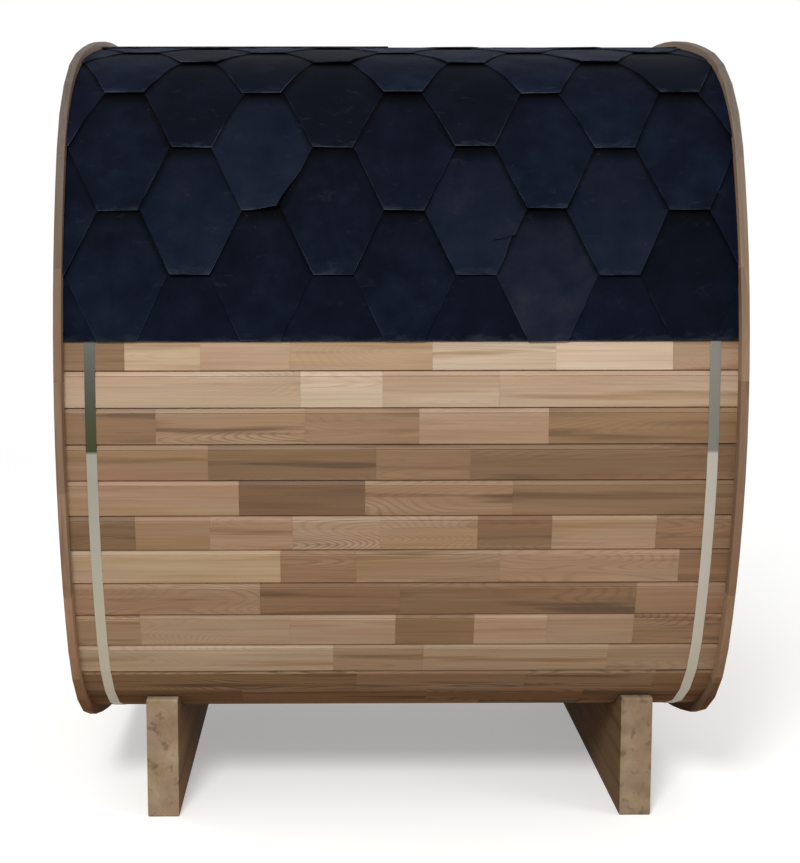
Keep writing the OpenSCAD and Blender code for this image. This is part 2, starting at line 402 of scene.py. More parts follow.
def guide_mesh(name, rows):
    """A guide of points from rows of (place, values)."""
    points, values = zip(*rows)
    return shape_mesh(name, points, **{key: [row[key] for row in values] for key in values[0]})


def bridge(bm, rings):
    """Fills the gap between each ring of vertices and the next."""
    for a, b in zip(rings, rings[1:]):
        for i in range(len(a)):
            k = (i + 1) % len(a)
            bm.faces.new([a[i], a[k], b[k], b[i]])


def finished(bm, name):
    """Ends a bmesh with its faces outwards and returns it as a mesh."""
    bmesh.ops.recalc_face_normals(bm, faces=bm.faces[:])
    mesh = bpy.data.meshes.new(name)
    bm.to_mesh(mesh)
    bm.free()
    return mesh


# %% Geometry Nodes helpers


def new_tree(name, **sockets):
    """A Geometry Nodes tree with these named inputs beside its geometry, the function that
    adds nodes to it, and its inputs."""
    tree = bpy.data.node_groups.new(name, "GeometryNodeTree")
    for way in ("INPUT", "OUTPUT"):
        tree.interface.new_socket("Geometry", in_out=way, socket_type="NodeSocketGeometry")
    for key, kind in sockets.items():
        tree.interface.new_socket(key, in_out="INPUT", socket_type="NodeSocket" + kind)
    node = partial(add, tree)
    return tree, node, node("NodeGroupInput").outputs


def run_tree(tree, mesh, **values):
    """Runs the tree once on mesh and returns the result as a plain mesh."""
    start = new_object(tree.name, mesh)
    modifier = start.modifiers.new("grow", "NODES")
    modifier.node_group = tree
    sockets = {s.name: s.identifier for s in tree.interface.items_tree if s.in_out == "INPUT"}
    for key, value in values.items():
        modifier[sockets[key]] = value
    evaluated = start.evaluated_get(bpy.context.evaluated_depsgraph_get())
    result = bpy.data.meshes.new_from_object(evaluated)
    start.modifiers.remove(modifier)
    bpy.data.objects.remove(start)
    print(f"{tree.name}: {len(mesh.vertices)} guide points, {len(result.vertices)} points")
    return result


# %% [markdown]
# ## The staves
# A real stave is glued up from shorter lengths, so its tone steps from length to
# length along one board. Where two staves meet, the upper one covers the joint and the
# lower one has a chamfer, set off by a fine groove, that catches the light. Seventy-two
# staves of about five lengths each are the same board over and over, which is what
# instancing is for. A guide point is placed at the start of each length, with its
# heading, length, tone, figure and seed, and a tree sets a board on each one. The board
# itself is an object that is in no scene: it is there for the tree to copy.

# %% Stave sections
CHAMFER_W = 11 * MM  # on a stave's upper edge
CHAMFER_D = 4.4 * MM
QUIRK = 1.4 * MM  # the groove's depth and half its width, a little over the real one's
ARRIS = 1.4 * MM  # on a stave's lower edge
JOINT_GAP = 1.2 * MM


def stave_board(name, mitre):
    """A stave one unit long along X, its face at z = 0 and its sides cut to the mitre."""
    half = (STAVE_W - JOINT_GAP) / 2
    lean = math.tan(math.radians(mitre))
    inner = half - STAVE_T * lean
    shoulder = half - CHAMFER_W
    section = [(-inner, -STAVE_T), (ARRIS * lean - half, -ARRIS), (ARRIS - half, 0),
               (shoulder - 2 * QUIRK, 0), (shoulder - QUIRK, -QUIRK), (shoulder, 0),
               (half - CHAMFER_D * lean, -CHAMFER_D), (inner, -STAVE_T)]
    n = len(section)
    points = [(x, y, z) for x in (0, 1) for y, z in section]
    sides = [[i, i + n, (i + 1) % n + n, (i + 1) % n] for i in range(n)]
    ends = [list(range(n)), list(range(2 * n - 1, n - 1, -1))]
    return bpy.data.objects.new(name, shape_mesh(name, points, ends + sides, board=points))


side_board = stave_board("side_board", SIDE_TURN / 2)
corner_board = stave_board("corner_board", CORNER_TURN / 2)
print("stave board:", len(side_board.data.polygons), "faces")

# %% Stave lengths
# Twelve staves on the near side, from the eave down: where each length ends, in mm from
# the left end, its tone, and how strong its figure is.
NEAR_STAVES = [
    [(140, 0.26, 1), (315, 0.66, 0.8), (520, 0.58, 0.8), (850, 0.51, 0.7), (1135, 0.72, 1.4),
     (1405, 0.83, 0.3), (1556, 0.49, 1)],
    [(545, 0.63, 1.2), (735, 0.76, 1.4), (1005, 0.62, 0.7), (1556, 0.61, 0.7)],
    [(210, 0.32, 1.8), (555, 0.46, 1.9), (820, 0.38, 1.1), (1120, 0.54, 0.8), (1556, 0.32, 1)],
    [(330, 0.38, 0.8), (720, 0.26, 1.8), (940, 0.32, 1), (1556, 0.22, 1.2)],
    [(400, 0.50, 0.4), (695, 0.14, 0.7), (1040, 0.45, 1.7), (1556, 0.30, 0.8)],
    [(155, 0.22, 1.6), (330, 0.43, 0.7), (525, 0.50, 1), (730, 0.57, 1.8), (960, 0.48, 1.1), (1135, 0.26, 1),
     (1380, 0.53, 0.7), (1556, 0.36, 1.3)],
    [(495, 0.64, 0.5), (675, 0.42, 1.8), (1015, 0.46, 1.3), (1440, 0.53, 1.3), (1556, 0.33, 0.6)],
    [(445, 0.48, 1.5), (780, 0.31, 1.2), (1345, 0.29, 1.4), (1556, 0.40, 0.5)],
    [(155, 0.52, 1.5), (515, 0.60, 1.1), (770, 0.58, 0.8), (960, 0.32, 1.1), (1135, 0.62, 0.6),
     (1345, 0.52, 0.5), (1556, 0.42, 1.6)],
    [(620, 0.74, 0.9), (840, 0.58, 1.4), (1290, 0.64, 1.1), (1556, 0.54, 1.1)],
    [(677, 0.49, 2.1), (1095, 0.56, 2.2), (1416, 0.52, 1.8), (1556, 0.47, 1.6)],
    [(391, 0.34, 1.8), (855, 0.53, 2.1), (1250, 0.44, 2.0), (1556, 0.35, 1.7)],
]
EAVE_STAVE = 8  # the number of the first of them
# Lengths for the other staves, in mm: the shortest, longest and most common, and the
# least that may be left at the end. Then the range of figures.
LENGTHS = (110, 720, 250)
LEAST_LEFT = 90
FIGURES = (0.5, 1.7)
STAVE_TONE = (0.46, 0.10)  # a stave's tone and its spread
TONE_SPREAD = 0.17  # from length to length on one stave
random.seed(23)


def any_lengths():
    """Random lengths for a stave: the end of each in mm, its tone and its figure."""
    ground = random.gauss(*STAVE_TONE)
    lengths, x, last = [], 0, 2 * STAVE_X / MM
    while x < last:
        x += random.triangular(*LENGTHS)
        if x > last - LEAST_LEFT:
            x = last
        tone = min(max(random.gauss(ground, TONE_SPREAD), 0.02), 0.98)
        lengths.append((x, tone, random.uniform(*FIGURES)))
    return lengths


def stave_guides():
    """Guide points: where each glued length starts, and what it is like."""
    rows = []
    for j in range(STAVES):
        middle = (joint(j) + joint(j + 1)) / 2
        row = (EAVE_STAVE - j) % STAVES
        start = 0.0
        for end, tone, figure in NEAR_STAVES[row] if row < len(NEAR_STAVES) else any_lengths():
            rows.append((middle + (start * MM - STAVE_X) * X_AXIS, {
                "heading": heading(j), "run": (end - start) * MM, "tone": tone, "figure": float(figure),
                "seed": random.uniform(0, 40), "corner": float(j % PER_SIDE >= SIDE_STAVES)}))
            start = end
    return guide_mesh("stave_guides", rows)


guides = stave_guides()
print(len(guides.vertices), "glued lengths")

# %% Tree that sets the staves
GRAIN_STEP = (3.1, 1.7, 1.0)  # how far a board's seed moves its grain along, across and in


def stave_tree():
    """Sets a board on each guide point, turned to its heading and cut to its length."""
    tree, node, inputs = new_tree("set_staves", Side_board="Object", Corner_board="Object",
                                  Wood="Material", Butt_gap="Float")
    value = {key: node("STORED", {"Name": key}, data_type="FLOAT")
             for key in ("heading", "run", "seed", "corner")}
    quarter = node("MATH SUBTRACT", math.pi / 2, value["heading"])
    rotation = node("FunctionNodeEulerToRotation", node("COMBINE", {"X": quarter}))
    length = node("MATH SUBTRACT", value["run"], inputs["Butt_gap"])
    scale = node("COMBINE", length, 1.0, 1.0)
    is_corner = node("FunctionNodeCompare GREATER_THAN", {"A": value["corner"], "B": 0.5})
    is_side = node("FunctionNodeBooleanMath NOT", is_corner)
    join = node("GeometryNodeJoinGeometry")
    for board, chosen in (("Side_board", is_side), ("Corner_board", is_corner)):
        shape = node("GeometryNodeObjectInfo", {"Object": inputs[board]})
        copies = node("GeometryNodeInstanceOnPoints", {
            "Points": inputs["Geometry"], "Selection": chosen, "Instance": shape.outputs["Geometry"],
            "Rotation": rotation, "Scale": scale})
        tree.links.new(copies.outputs[0], join.inputs[0])
    real = node("GeometryNodeRealizeInstances", join)

    # Grain: the place along X and in the board's own section, moved by the seed.
    place = node("SPLIT", node("GeometryNodeInputPosition")).outputs
    section = node("SPLIT", node("STORED", {"Name": "board"}, data_type="FLOAT_VECTOR")).outputs
    spots = zip(GRAIN_STEP, (place["X"], section["Y"], section["Z"]))
    grain = node("COMBINE", *[node("MATH MULTIPLY_ADD", value["seed"], step, spot) for step, spot in spots])
    store = node("GeometryNodeStoreNamedAttribute", {"Geometry": real, "Name": "grain", "Value": grain},
                 data_type="FLOAT_VECTOR")
    done = node("GeometryNodeSetMaterial", {"Geometry": store, "Material": inputs["Wood"]})
    node("NodeGroupOutput", done)
    return tree


BARREL_NODES = ["front_wall", "back_wall", "ceiling", "floor", "corner_front_top", "corner_back_top",
                "corner_back_bottom", "corner_front_bottom"]
stave_mesh = run_tree(stave_tree(), guides, Side_board=side_board, Corner_board=corner_board, Wood=stave_wood,
                      Butt_gap=0.2 * MM)
keep("staves", stave_mesh, BARREL_NODES)

# %% [markdown]
# ## The roof's curve
# Shingles are soft and bend over the staves, so the roof needs a smooth curve, not the
# barrel's straight faces. A Catmull-Rom curve through the joints gives one: it touches
# every joint and swells a little over each face, as felt does. It becomes a guide mesh
# that stores, at each point, the direction away from the barrel.

# %% The curve that shingles lie on
STEPS = 8  # to each stave
STEP_S = STAVE_W / STEPS


def roof_point(i):
    """Place and outward direction on the roof's curve, i steps round from mid-side."""
    n, k = divmod(i, STEPS)
    t = k / STEPS
    a, b, c, d = (RING[(MID_SIDE + n + m) % STAVES] for m in (-1, 0, 1, 2))
    bow, twist = 2 * a - 5 * b + 4 * c - d, 3 * b - a - 3 * c + d
    place = 0.5 * (2 * b + (c - a) * t + bow * t**2 + twist * t**3)
    run = (c - a) + 2 * bow * t + 3 * twist * t**2
    return place, Vector((0, -run.z, run.y)).normalized()


roof_points, roof_rises = zip(*(roof_point(i) for i in range(2 * PER_SIDE * STEPS + 1)))
roof_curve = bpy.data.objects.new("roof_curve", shape_mesh("roof_curve", roof_points, rise=roof_rises))
print("roof curve:", len(roof_points), "points")

# %% [markdown]
# ## Sheets of felt
# Hexagonal bitumen shingles come as strips with tapered tabs. The lower half of each
# tab shows and the upper half lies under the next two rows, which is what makes the
# roof look as if it were laid with hexagons. A tab is a flat closed sheet here, cut
# into rows along its length so that it can bend later, with one narrow row and column
# at its border. The border is stored as an `edge` value, because a cut edge is paler
# and gets a painted highlight, and the place on the sheet as `sheet`, for marks and
# painted shade that belong to one part of a tab.

# %% Tab and strip sheets
EXPOSURE = 151.7 * MM
TAB_PITCH = 330.5 * MM
TAB_START = 7.5 * MM  # right of the middle
TAB_LENGTH = 2 * EXPOSURE + 40 * MM  # the upper part lies under the next two rows
TAB_BOTTOM = 46 * MM  # half the width of its lower edge
TAB_SLOPE = 72 * MM / EXPOSURE  # how fast a side runs outwards
FELT_T = 2.7 * MM
HEM = 2.2 * MM  # the width of the border
HEM_DROP = 0.5 * MM  # how far its face is worn down there
ROOF_X = STAVE_X - 1 * MM
EAVE_S = 154 * MM  # from mid-side up to the eave
SHEET_ROWS = 28


def tab_half_width(a):
    """Half a tab's width at a distance a above its lower edge."""
    return min(TAB_BOTTOM + TAB_SLOPE * a, TAB_PITCH / 2)


def felt_sheet(name, length, half_width, shape=None, across=6, finer=()):
    """A closed flat sheet: X across, Y up the roof from its lower edge, Z outwards. The
    function shape gives how far a place is moved, and finer lists rows to add."""
    even = {i * length / SHEET_ROWS for i in range(1, SHEET_ROWS)}
    rows = sorted({0, HEM, length - HEM, length} | even | set(finer))
    points, edges, places = [], [], []
    for depth in (0, -FELT_T):
        for a in rows:
            half = half_width(a)
            xs = [-half] + [(half - HEM) * (2 * k / across - 1) for k in range(across + 1)] + [half]
            for x in xs:
                border = abs(x) == half or a in (0, length)
                place = Vector((x, a, depth - (HEM_DROP if border and depth == 0 else 0)))
                places.append(place)
                points.append(place + shape(x, a) if shape else place)
                edges.append(1.0 if a in (0, length) else 0.5 * border)
    wide = across + 3
    under = wide * len(rows)
    faces = []
    for v in (r * wide + c for r in range(len(rows) - 1) for c in range(wide - 1)):
        quad = [v, v + 1, v + wide + 1, v + wide]
        faces += [quad, [under + q for q in reversed(quad)]]
    ring = list(range(wide)) + [r * wide + wide - 1 for r in range(1, len(rows))]
    ring += [under - 2 - c for c in range(wide - 1)] + [r * wide for r in range(len(rows) - 2, 0, -1)]
    for v, nxt in zip(ring, ring[1:] + ring[:1]):
        faces.append([v, v + under, nxt + under, nxt])
    return bpy.data.objects.new(name, shape_mesh(name, points, faces, edge=edges, sheet=places))


plain_tab = felt_sheet("tab", TAB_LENGTH, tab_half_width)
print("tab:", len(plain_tab.data.polygons), "faces")

# %% [markdown]
# ## Bitumen felt
# Cut from a roll of bitumen felt with mineral dust pressed into it, a shingle is
# nearly black with a blue cast and has no shine to speak of. Tone drifts between tabs
# and in soft clouds across each one. Handling leaves pale specks and scuffs. Painted
# shade lies under the edges of the tabs that lie on a sheet, and each tab is painted
# lighter towards its lower edge and darker towards its top. The cut edges are paler,
# and a painted highlight makes them a thin, broken grey line. The specular level is
# low, because a dusty surface shades itself.

# %% Painted shade and light on felt, and pale marks


def painted_tab_shade(node, low, lapped):
    """How much painted shade and light a tab's felt gets. Between the tabs above, painted
    shade lies along their sides and gathers upwards under their lower edges, and each tab
    is painted lighter towards its lower edge and darker towards its top."""
    sideways = node("MATH ABSOLUTE", low["X"])
    beyond = node("MATH SUBTRACT", low["Y"], EXPOSURE)
    cover = node("MATH MULTIPLY_ADD", beyond, -TAB_SLOPE, TAB_PITCH / 2 - TAB_BOTTOM)
    inside = node("MATH SUBTRACT", cover, sideways)
    # painted shade along the sides of the tabs above, and under their lower edges
    side = node("RANGE", inside, 0.0, 16 * MM, 0.35, 1.0, interpolation_type="SMOOTHSTEP")
    foot = node("RANGE", low["Y"], 2 * EXPOSURE - 44 * MM, 2 * EXPOSURE, 1.0, 0.12,
                interpolation_type="SMOOTHSTEP")
    painted_shade = node("MATH SUBTRACT", node("MATH MULTIPLY", side, foot), 1.0)
    started = node("RANGE", beyond, 0.0, 4 * MM)
    reach = node("MATH MULTIPLY", started, lapped)
    unshaded = node("MATH MULTIPLY_ADD", painted_shade, reach, 1.0)
    # painted light and shade: lighter towards the lower edge, darker towards the top
    painted_gradient = node("RANGE", low["Y"], 0.0, 2 * EXPOSURE, 1.36, 0.72)
    return node("MATH MULTIPLY", unshaded, painted_gradient)


def pale_marks(node, place, low, cloud):
    """Scuffs, more of them near the lower edge, and specks in a few places."""
    scuff_at = node("VECTOR MULTIPLY", place, per_metre(60, 25, 30))
    scuff = node("NOISE", {"Vector": scuff_at, "Scale": 1, "Detail": 6, "Roughness": 0.72, "Distortion": 0.8})
    speck = node("ShaderNodeTexVoronoi", {"Vector": place, "Scale": 1000 / 24})
    hem = node("RANGE", low["Y"], 0.0, 22 * MM, 0.22, 0.0)
    worn = node("MATH ADD", scuff, hem)
    dust = node("RANGE", worn, 0.60, 0.98, 0.0, 0.5)
    dot = node("RANGE", speck, 0.045, 0.075, 0.5, 0.0)
    rare = node("RANGE", cloud, 0.54, 0.66)
    return node("MATH MULTIPLY_ADD", dot, rare, dust)


print(f"dirt starts {EXPOSURE / MM:.1f} mm above a tab's lower edge")

# %% Felt material


def bitumen_felt():
    """Dusty felt. `felt` is the place on a sheet moved by its seed, so no two match."""
    material, node = new_material("dusty_bitumen_felt")
    place, sheet = (node("CARRIED", attribute_name=key).outputs["Vector"] for key in ("felt", "sheet"))
    tone, edge, lapped = (node("CARRIED", attribute_name=key).outputs["Fac"]
                          for key in ("tone", "edge", "lapped"))
    low = node("SPLIT", sheet).outputs
    cloud = node("NOISE", {"Vector": place, "Scale": 1000 / 90, "Detail": 5, "Roughness": 0.6})  # 90 mm
    grit = node("NOISE", {"Vector": place, "Scale": 1000 / 2.4, "Detail": 2})  # real grit is finer

    around = node("MATH SUBTRACT", cloud, 0.5)
    shade = node("MATH MULTIPLY_ADD", around, 1.0, tone)
    base = node("RAMP", shade, stops=[(0, "#040811"), (0.3, "#080d19"), (0.5, "#0c1320"), (0.7, "#121724"),
                                      (0.85, "#181b28"), (1, "#1e2129")])
    # painted shade and light on the tab
    base = node("VECTOR SCALE", {0: base, "Scale": painted_tab_shade(node, low, lapped)})
    dusty = node("MIX", {"Factor": pale_marks(node, place, low, cloud), "A": base, "B": linear("#3b414c")},
                 data_type="RGBA")
    # The pale cut edge, made brighter by a painted highlight: broken by the clouds and strongest near the
    # lower edge.
    broken = node("MATH MULTIPLY_ADD", cloud, 5.0, -2.1, use_clamp=True)
    near_lower_edge = node("RANGE", low["Y"], 50 * MM, 140 * MM, 1.0, 0.15)
    edge_highlight = node("MATH MULTIPLY", node("MATH MULTIPLY", edge, broken), near_lower_edge)
    colour = node("MIX", {"Factor": edge_highlight, "A": dusty, "B": linear("#3f4654")}, data_type="RGBA")

    height = node("MATH MULTIPLY_ADD", grit, 0.3, cloud)
    rough = node("MATH MULTIPLY_ADD", cloud, -0.2, 0.9)
    end_material(node, colour, rough, height, 0.6, 1.5, Specular_IOR_Level=0.04)
    return material


felt = bitumen_felt()
print(felt.name, len(felt.node_tree.nodes), "nodes")

# %% [markdown]
# ## Laying the shingles
# A guide point stands for each tab: where its lower edge lies along the sauna and
# round it, how it is turned, how far its corners lift, its tone and its seed. The tree
# copies a sheet to each point on a flat roof, then bends the whole layer round the
# curve. A tab slopes down into the roof as it runs up under the rows above it, which
# gives every row the thickness of one layer over the row below.

# %% Height over the curve, and the place on it


def lay_height(node, inputs, value, on_sheet):
    """Height over the curve: the slope of the lay, then the curl of the lower edge."""
    sunk = node("MATH MULTIPLY", on_sheet["Y"], inputs["Lay_slope"])
    slope = node("MATH SUBTRACT", value["lay"], sunk)
    layer = node("MATH MINIMUM", slope, value["cap"])
    up = node("MATH DIVIDE", on_sheet["Y"], inputs["Curl_reach"])
    near_edge = node("MATH SUBTRACT", 1.0, up, use_clamp=True)
    curl = node("MATH POWER", near_edge, 2.0)
    side = node("MATH DIVIDE", on_sheet["X"], inputs["Half_bottom"])
    tip = node("MATH MULTIPLY_ADD", side, value["twist"], value["lift"])
    tip = node("MATH MAXIMUM", tip, 0.0)
    return node("MATH MULTIPLY_ADD", curl, tip, layer)


def on_curve(node, curve, steps, wanted):
    """The value wanted from the curve, mixed from its points before and after steps."""
    below = node("MATH FLOOR", steps)
    above = node("MATH ADD", below, 1.0)
    part = node("MATH FRACT", steps)
    ends = [node("GeometryNodeSampleIndex", {"Geometry": curve, "Value": wanted, "Index": index},
                 data_type="FLOAT_VECTOR") for index in (below, above)]
    return node("MIX", {"Factor": part, "A": ends[0], "B": ends[1]}, data_type="VECTOR")


print("a curve point every", round(STEP_S / MM, 2), "mm")

# %% Tree that lays sheets on the curve


def shingle_tree():
    """Lays a sheet at each guide point, bent round the curve."""
    tree, node, inputs = new_tree("lay_sheets", Sheet="Object", Curve="Object", Felt="Material",
                                  Curve_step="Float", Lay_slope="Float", Curl_reach="Float",
                                  Half_bottom="Float")
    value = {key: node("STORED", {"Name": key}, data_type="FLOAT")
             for key in ("turn", "lay", "cap", "lift", "twist", "seed")}
    sheet, rise = (node("STORED", {"Name": key}, data_type="FLOAT_VECTOR") for key in ("sheet", "rise"))
    flat, curve = (node("GeometryNodeObjectInfo", {"Object": inputs[key]}).outputs["Geometry"]
                   for key in ("Sheet", "Curve"))
    spin = node("FunctionNodeEulerToRotation", node("COMBINE", {"Z": value["turn"]}))
    copies = node("GeometryNodeInstanceOnPoints",
                  {"Points": inputs["Geometry"], "Instance": flat, "Rotation": spin})
    real = node("GeometryNodeRealizeInstances", copies)

    position = node("GeometryNodeInputPosition")
    place = node("SPLIT", position).outputs
    raised = lay_height(node, inputs, value, node("SPLIT", sheet).outputs)
    height = node("MATH ADD", raised, place["Z"])
    steps = node("MATH DIVIDE", place["Y"], inputs["Curve_step"])
    out = node("VECTOR SCALE", {0: on_curve(node, curve, steps, rise), "Scale": height})
    on_roof = node("VECTOR ADD", on_curve(node, curve, steps, position), out)
    final = node("VECTOR ADD", on_roof, node("COMBINE", {"X": place["X"]}))

    moved = node("VECTOR ADD", sheet, node("COMBINE", value["seed"], value["seed"]))
    store = node("GeometryNodeStoreNamedAttribute", {"Geometry": real, "Name": "felt", "Value": moved},
                 data_type="FLOAT_VECTOR")
    bent = node("GeometryNodeSetPosition", {"Geometry": store, "Position": final})
    done = node("GeometryNodeSetMaterial", {"Geometry": bent, "Material": inputs["Felt"]})
    node("NodeGroupOutput", done)
    return tree


LAY_SLOPE = 3.0 * MM / EXPOSURE  # a little over one layer down for each row up
CURL_REACH = 125 * MM  # how far up a tab its curl goes
lay_sheets = shingle_tree()


def lay(guides, sheet):
    """The sheet, laid at every guide point."""
    return run_tree(lay_sheets, guides, Sheet=sheet, Curve=roof_curve, Felt=felt, Curve_step=STEP_S,
                    Lay_slope=LAY_SLOPE, Curl_reach=CURL_REACH, Half_bottom=TAB_BOTTOM)


print(f"a tab sinks {LAY_SLOPE * TAB_LENGTH / MM:.1f} mm from its lower to its upper edge")

# %% Rows of tabs
ROWS = 9
TOP_LAY = 9.3 * MM  # the felt's face over the staves, at a tab's lower edge
FIRST_LAY = 7.2 * MM  # where there is only the starter strip beneath
NO_CAP = 1.0  # in metres, far above the felt
# Rows 2 to 4, where the roof turns upwards, are darker: painted shade that takes back the extra lamp light
# they catch.
ROW_TONES_AND_SHADE = (0.60, 0.54, 0.12, 0.05, 0.20, 0.46, 0.58, 0.58, 0.58)  # from the eave up
FLAT_ROW = 6  # from here up the tabs lie flatter, pressed by the ridge strip
PRESSED = 0.25  # the share of their lift that is left
SPECIAL_TABS = {(2, -1), (1, 0)}  # by row and place: they follow in the next step
# How unevenly the tabs are laid, in mm and degrees: along and up, turned, and how far
# their lower edges lift and twist.
SLIP_X, SLIP_S, SKEW = 1.6, 1.4, 0.45
LIFT, LIFT_SPREAD, LEAST_LIFT, TWIST = 3.8, 1.8, 0.8, 0.9
TAB_TONE_SPREAD = 0.18
random.seed(41)


def row_guides(back):
    """Guide points for the rows of one roof side."""
    rows = []
    for row, k in ((row, k) for row in range(ROWS) for k in range(-3, 4)):
        x = (k + 0.5 * (row % 2)) * TAB_PITCH + TAB_START
        if abs(x) > ROOF_X + TAB_PITCH / 4 or (not back and (row, k) in SPECIAL_TABS):
            continue
        s = EAVE_S + row * EXPOSURE
        slip = Vector((random.gauss(0, SLIP_X), random.gauss(0, SLIP_S), 0)) * MM
        loose = (row > 0) * (PRESSED if row >= FLAT_ROW else 1) * MM
        rows.append((Vector((x, 2 * RIDGE_S - s if back else s, 0)) + slip, {
            "turn": (math.pi if back else 0) + math.radians(random.gauss(0, SKEW)),
            "lay": TOP_LAY, "cap": FIRST_LAY if row == 0 else NO_CAP,
            "lift": max(random.gauss(LIFT, LIFT_SPREAD), LEAST_LIFT) * loose,
            "twist": random.gauss(0, TWIST) * loose,
            "tone": min(max(random.gauss(ROW_TONES_AND_SHADE[row], TAB_TONE_SPREAD), 0), 0.8),
            "seed": random.uniform(0, 90), "lapped": 1.0}))
    return guide_mesh("tab_guides", rows)


near_guides, far_guides = row_guides(False), row_guides(True)
print(len(near_guides.vertices) + len(far_guides.vertices), "tabs")

# %% [markdown]
# Two tabs on the near side have a history. One has slipped: its lower right corner is
# pulled up and stands away from the roof. Another has cracked from its right edge
# inwards, and the felt above the crack stands proud. Each gets a sheet of its own,
# pushed out of shape by a small function.

# %% The slipped tab and the cracked tab


def one_guide(x, s, cap, tone, seed, lift=0.0, twist=0.0, turn=0.0, lapped=1.0):
    """A guide of one point: a tab that slopes like the others, or a strip flat at its cap."""
    lay = TOP_LAY if cap == NO_CAP else NO_CAP
    return guide_mesh("one_guide", [((x, s, 0), {
        "turn": turn, "lay": lay, "cap": cap, "lift": lift, "twist": twist, "tone": tone,
        "seed": float(seed), "lapped": lapped})])


CRACK = 76 * MM  # from the cracked tab's lower edge up


def smooth(low, high, value):
    """Rises from 0 at low to 1 at high, without a corner."""
    t = min(max((value - low) / (high - low), 0), 1)
    return t * t * (3 - 2 * t)


def slipped(x, a):
    """The slipped tab's lower right corner goes up, left and out."""
    corner = smooth(-35 * MM, 60 * MM, x) * (1 - smooth(0, 110 * MM, a))
    return Vector((-11 * MM, 8 * MM, 9 * MM)) * corner


def cracked(x, a):
    """Above a wavy line the felt stands proud, and below it the side is drawn in."""
    line = CRACK + 13 * MM * smooth(24 * MM, 90 * MM, x) + 1.6 * MM * math.sin(x / (6 * MM))
    open_by = smooth(22 * MM, 52 * MM, x)
    above = smooth(line, line + 1.2 * MM, a) * (1 - smooth(line + 4 * MM, line + 70 * MM, a))
    pulled_in = smooth(60 * MM, 90 * MM, x) * smooth(20 * MM, 60 * MM, a) * (a < line)
    return Vector((-6 * MM * pulled_in, 0, 3.4 * MM * above * open_by))


def special_sheets():
    slip = felt_sheet("slipped_tab", TAB_LENGTH, tab_half_width, slipped, across=10)
    crack_rows = [CRACK + (1.1 * k - 6) * MM for k in range(24)]
    crack = felt_sheet("cracked_tab", TAB_LENGTH, tab_half_width, cracked, across=26, finer=crack_rows)
    slip_guide = one_guide(TAB_START - TAB_PITCH, EAVE_S + 2 * EXPOSURE, NO_CAP, tone=0.62, seed=11,
                           lift=2.6 * MM, twist=2.2 * MM)
    crack_guide = one_guide(TAB_START + TAB_PITCH / 2, EAVE_S + EXPOSURE, NO_CAP, tone=0.66, seed=23,
                            lift=0.8 * MM)
    return [lay(slip_guide, slip), lay(crack_guide, crack)]


special = special_sheets()
print(len(special), "tabs with a shape of their own")

# %% [markdown]
# Sheets that run past the end of the roof, or over its ridge, are cut there by planes
# and closed again. Then the sheets of one side become one piece.

# %% Both roof sides and the ridge
STARTER_LAY = 4.3 * MM
STARTER_W = EXPOSURE + 20 * MM
# Along the ridge: each strip's middle, half its width and length, its height, tone and seed.
RIDGE_STRIPS = [(0, 165 * MM, ROOF_X, 11.0 * MM, 0.5, 61),
                (-ROOF_X / 2, 180 * MM, ROOF_X / 2, 13.5 * MM, 0.6, 71)]
ROOF_ENDS = [(side * ROOF_X * X_AXIS, side * X_AXIS) for side in (-1, 1)]


def trimmed(mesh, *cuts):
    """Cuts a closed mesh by planes (point, normal), drops what is beyond, closes it."""
    bm = bmesh.new()
    bm.from_mesh(mesh)
    for point, normal in cuts:
        whole = bm.verts[:] + bm.edges[:] + bm.faces[:]
        bmesh.ops.bisect_plane(bm, geom=whole, dist=1e-6, plane_co=point, plane_no=normal, clear_outer=True)
        bmesh.ops.holes_fill(bm, edges=[e for e in bm.edges if e.is_boundary], sides=0)
    bm.to_mesh(mesh)
    bm.free()
    return mesh


def joined(name, meshes):
    """One mesh from several, keeping their attributes and the first one's materials."""
    objects = [new_object(name, mesh) for mesh in meshes]
    with bpy.context.temp_override(active_object=objects[0], selected_editable_objects=objects):
        bpy.ops.object.join()
    mesh = objects[0].data
    bpy.data.objects.remove(objects[0])
    return mesh


def strip(x, s, length, half, lay_at, tone, seed, back=False):
    """A straight strip of felt along the sauna, its lower edge at s."""
    sheet = felt_sheet("strip", length, lambda a: half, across=24)
    s, turn = (2 * RIDGE_S - s, math.pi) if back else (s, 0.0)
    return lay(one_guide(x, s, lay_at, tone, seed, turn=turn, lapped=0.0), sheet)


def roof_side(guides, extra, back):
    """The tabs of one side, cut at the ridge and the ends, and the starter strip under them."""
    over_ridge = (joint(MID_SIDE + PER_SIDE), (-1 if back else 1) * Y_AXIS)
    sheets = [trimmed(mesh, *ROOF_ENDS, over_ridge) for mesh in [lay(guides, plain_tab)] + extra]
    sheets.append(strip(0, EAVE_S, STARTER_W, ROOF_X, STARTER_LAY, tone=0.25, seed=5, back=back))
    return joined("roof_side", sheets)


keep("shingles_near", roof_side(near_guides, special, False),
     ["roof_front_side", "roof_front_corner", "roof_top"])
keep("shingles_far", roof_side(far_guides, [], True),
     ["roof_back_side", "roof_back_corner"])
ridge = [strip(x, RIDGE_S - half, 2 * half, *rest) for x, half, *rest in RIDGE_STRIPS]
keep("ridge_cap", joined("ridge_cap", ridge), ["ridge_strip"])

# %% [markdown]
# ## Boards made one at a time
# Rims, end walls, supports and door are sawn boards. Each is built as a closed solid,
# its edges are eased with a bevel as a plane would do it, and it is given its own
# grain direction and tone. Then the boards of one piece are joined.

# %% Board helpers
EASE = 2.0 * MM
SHARP_EDGE = 0.5  # radians
GRAIN_AXES = {"Y": (Y_AXIS, Z_AXIS, X_AXIS), "Z": (Z_AXIS, Y_AXIS, X_AXIS)}  # along, across and in


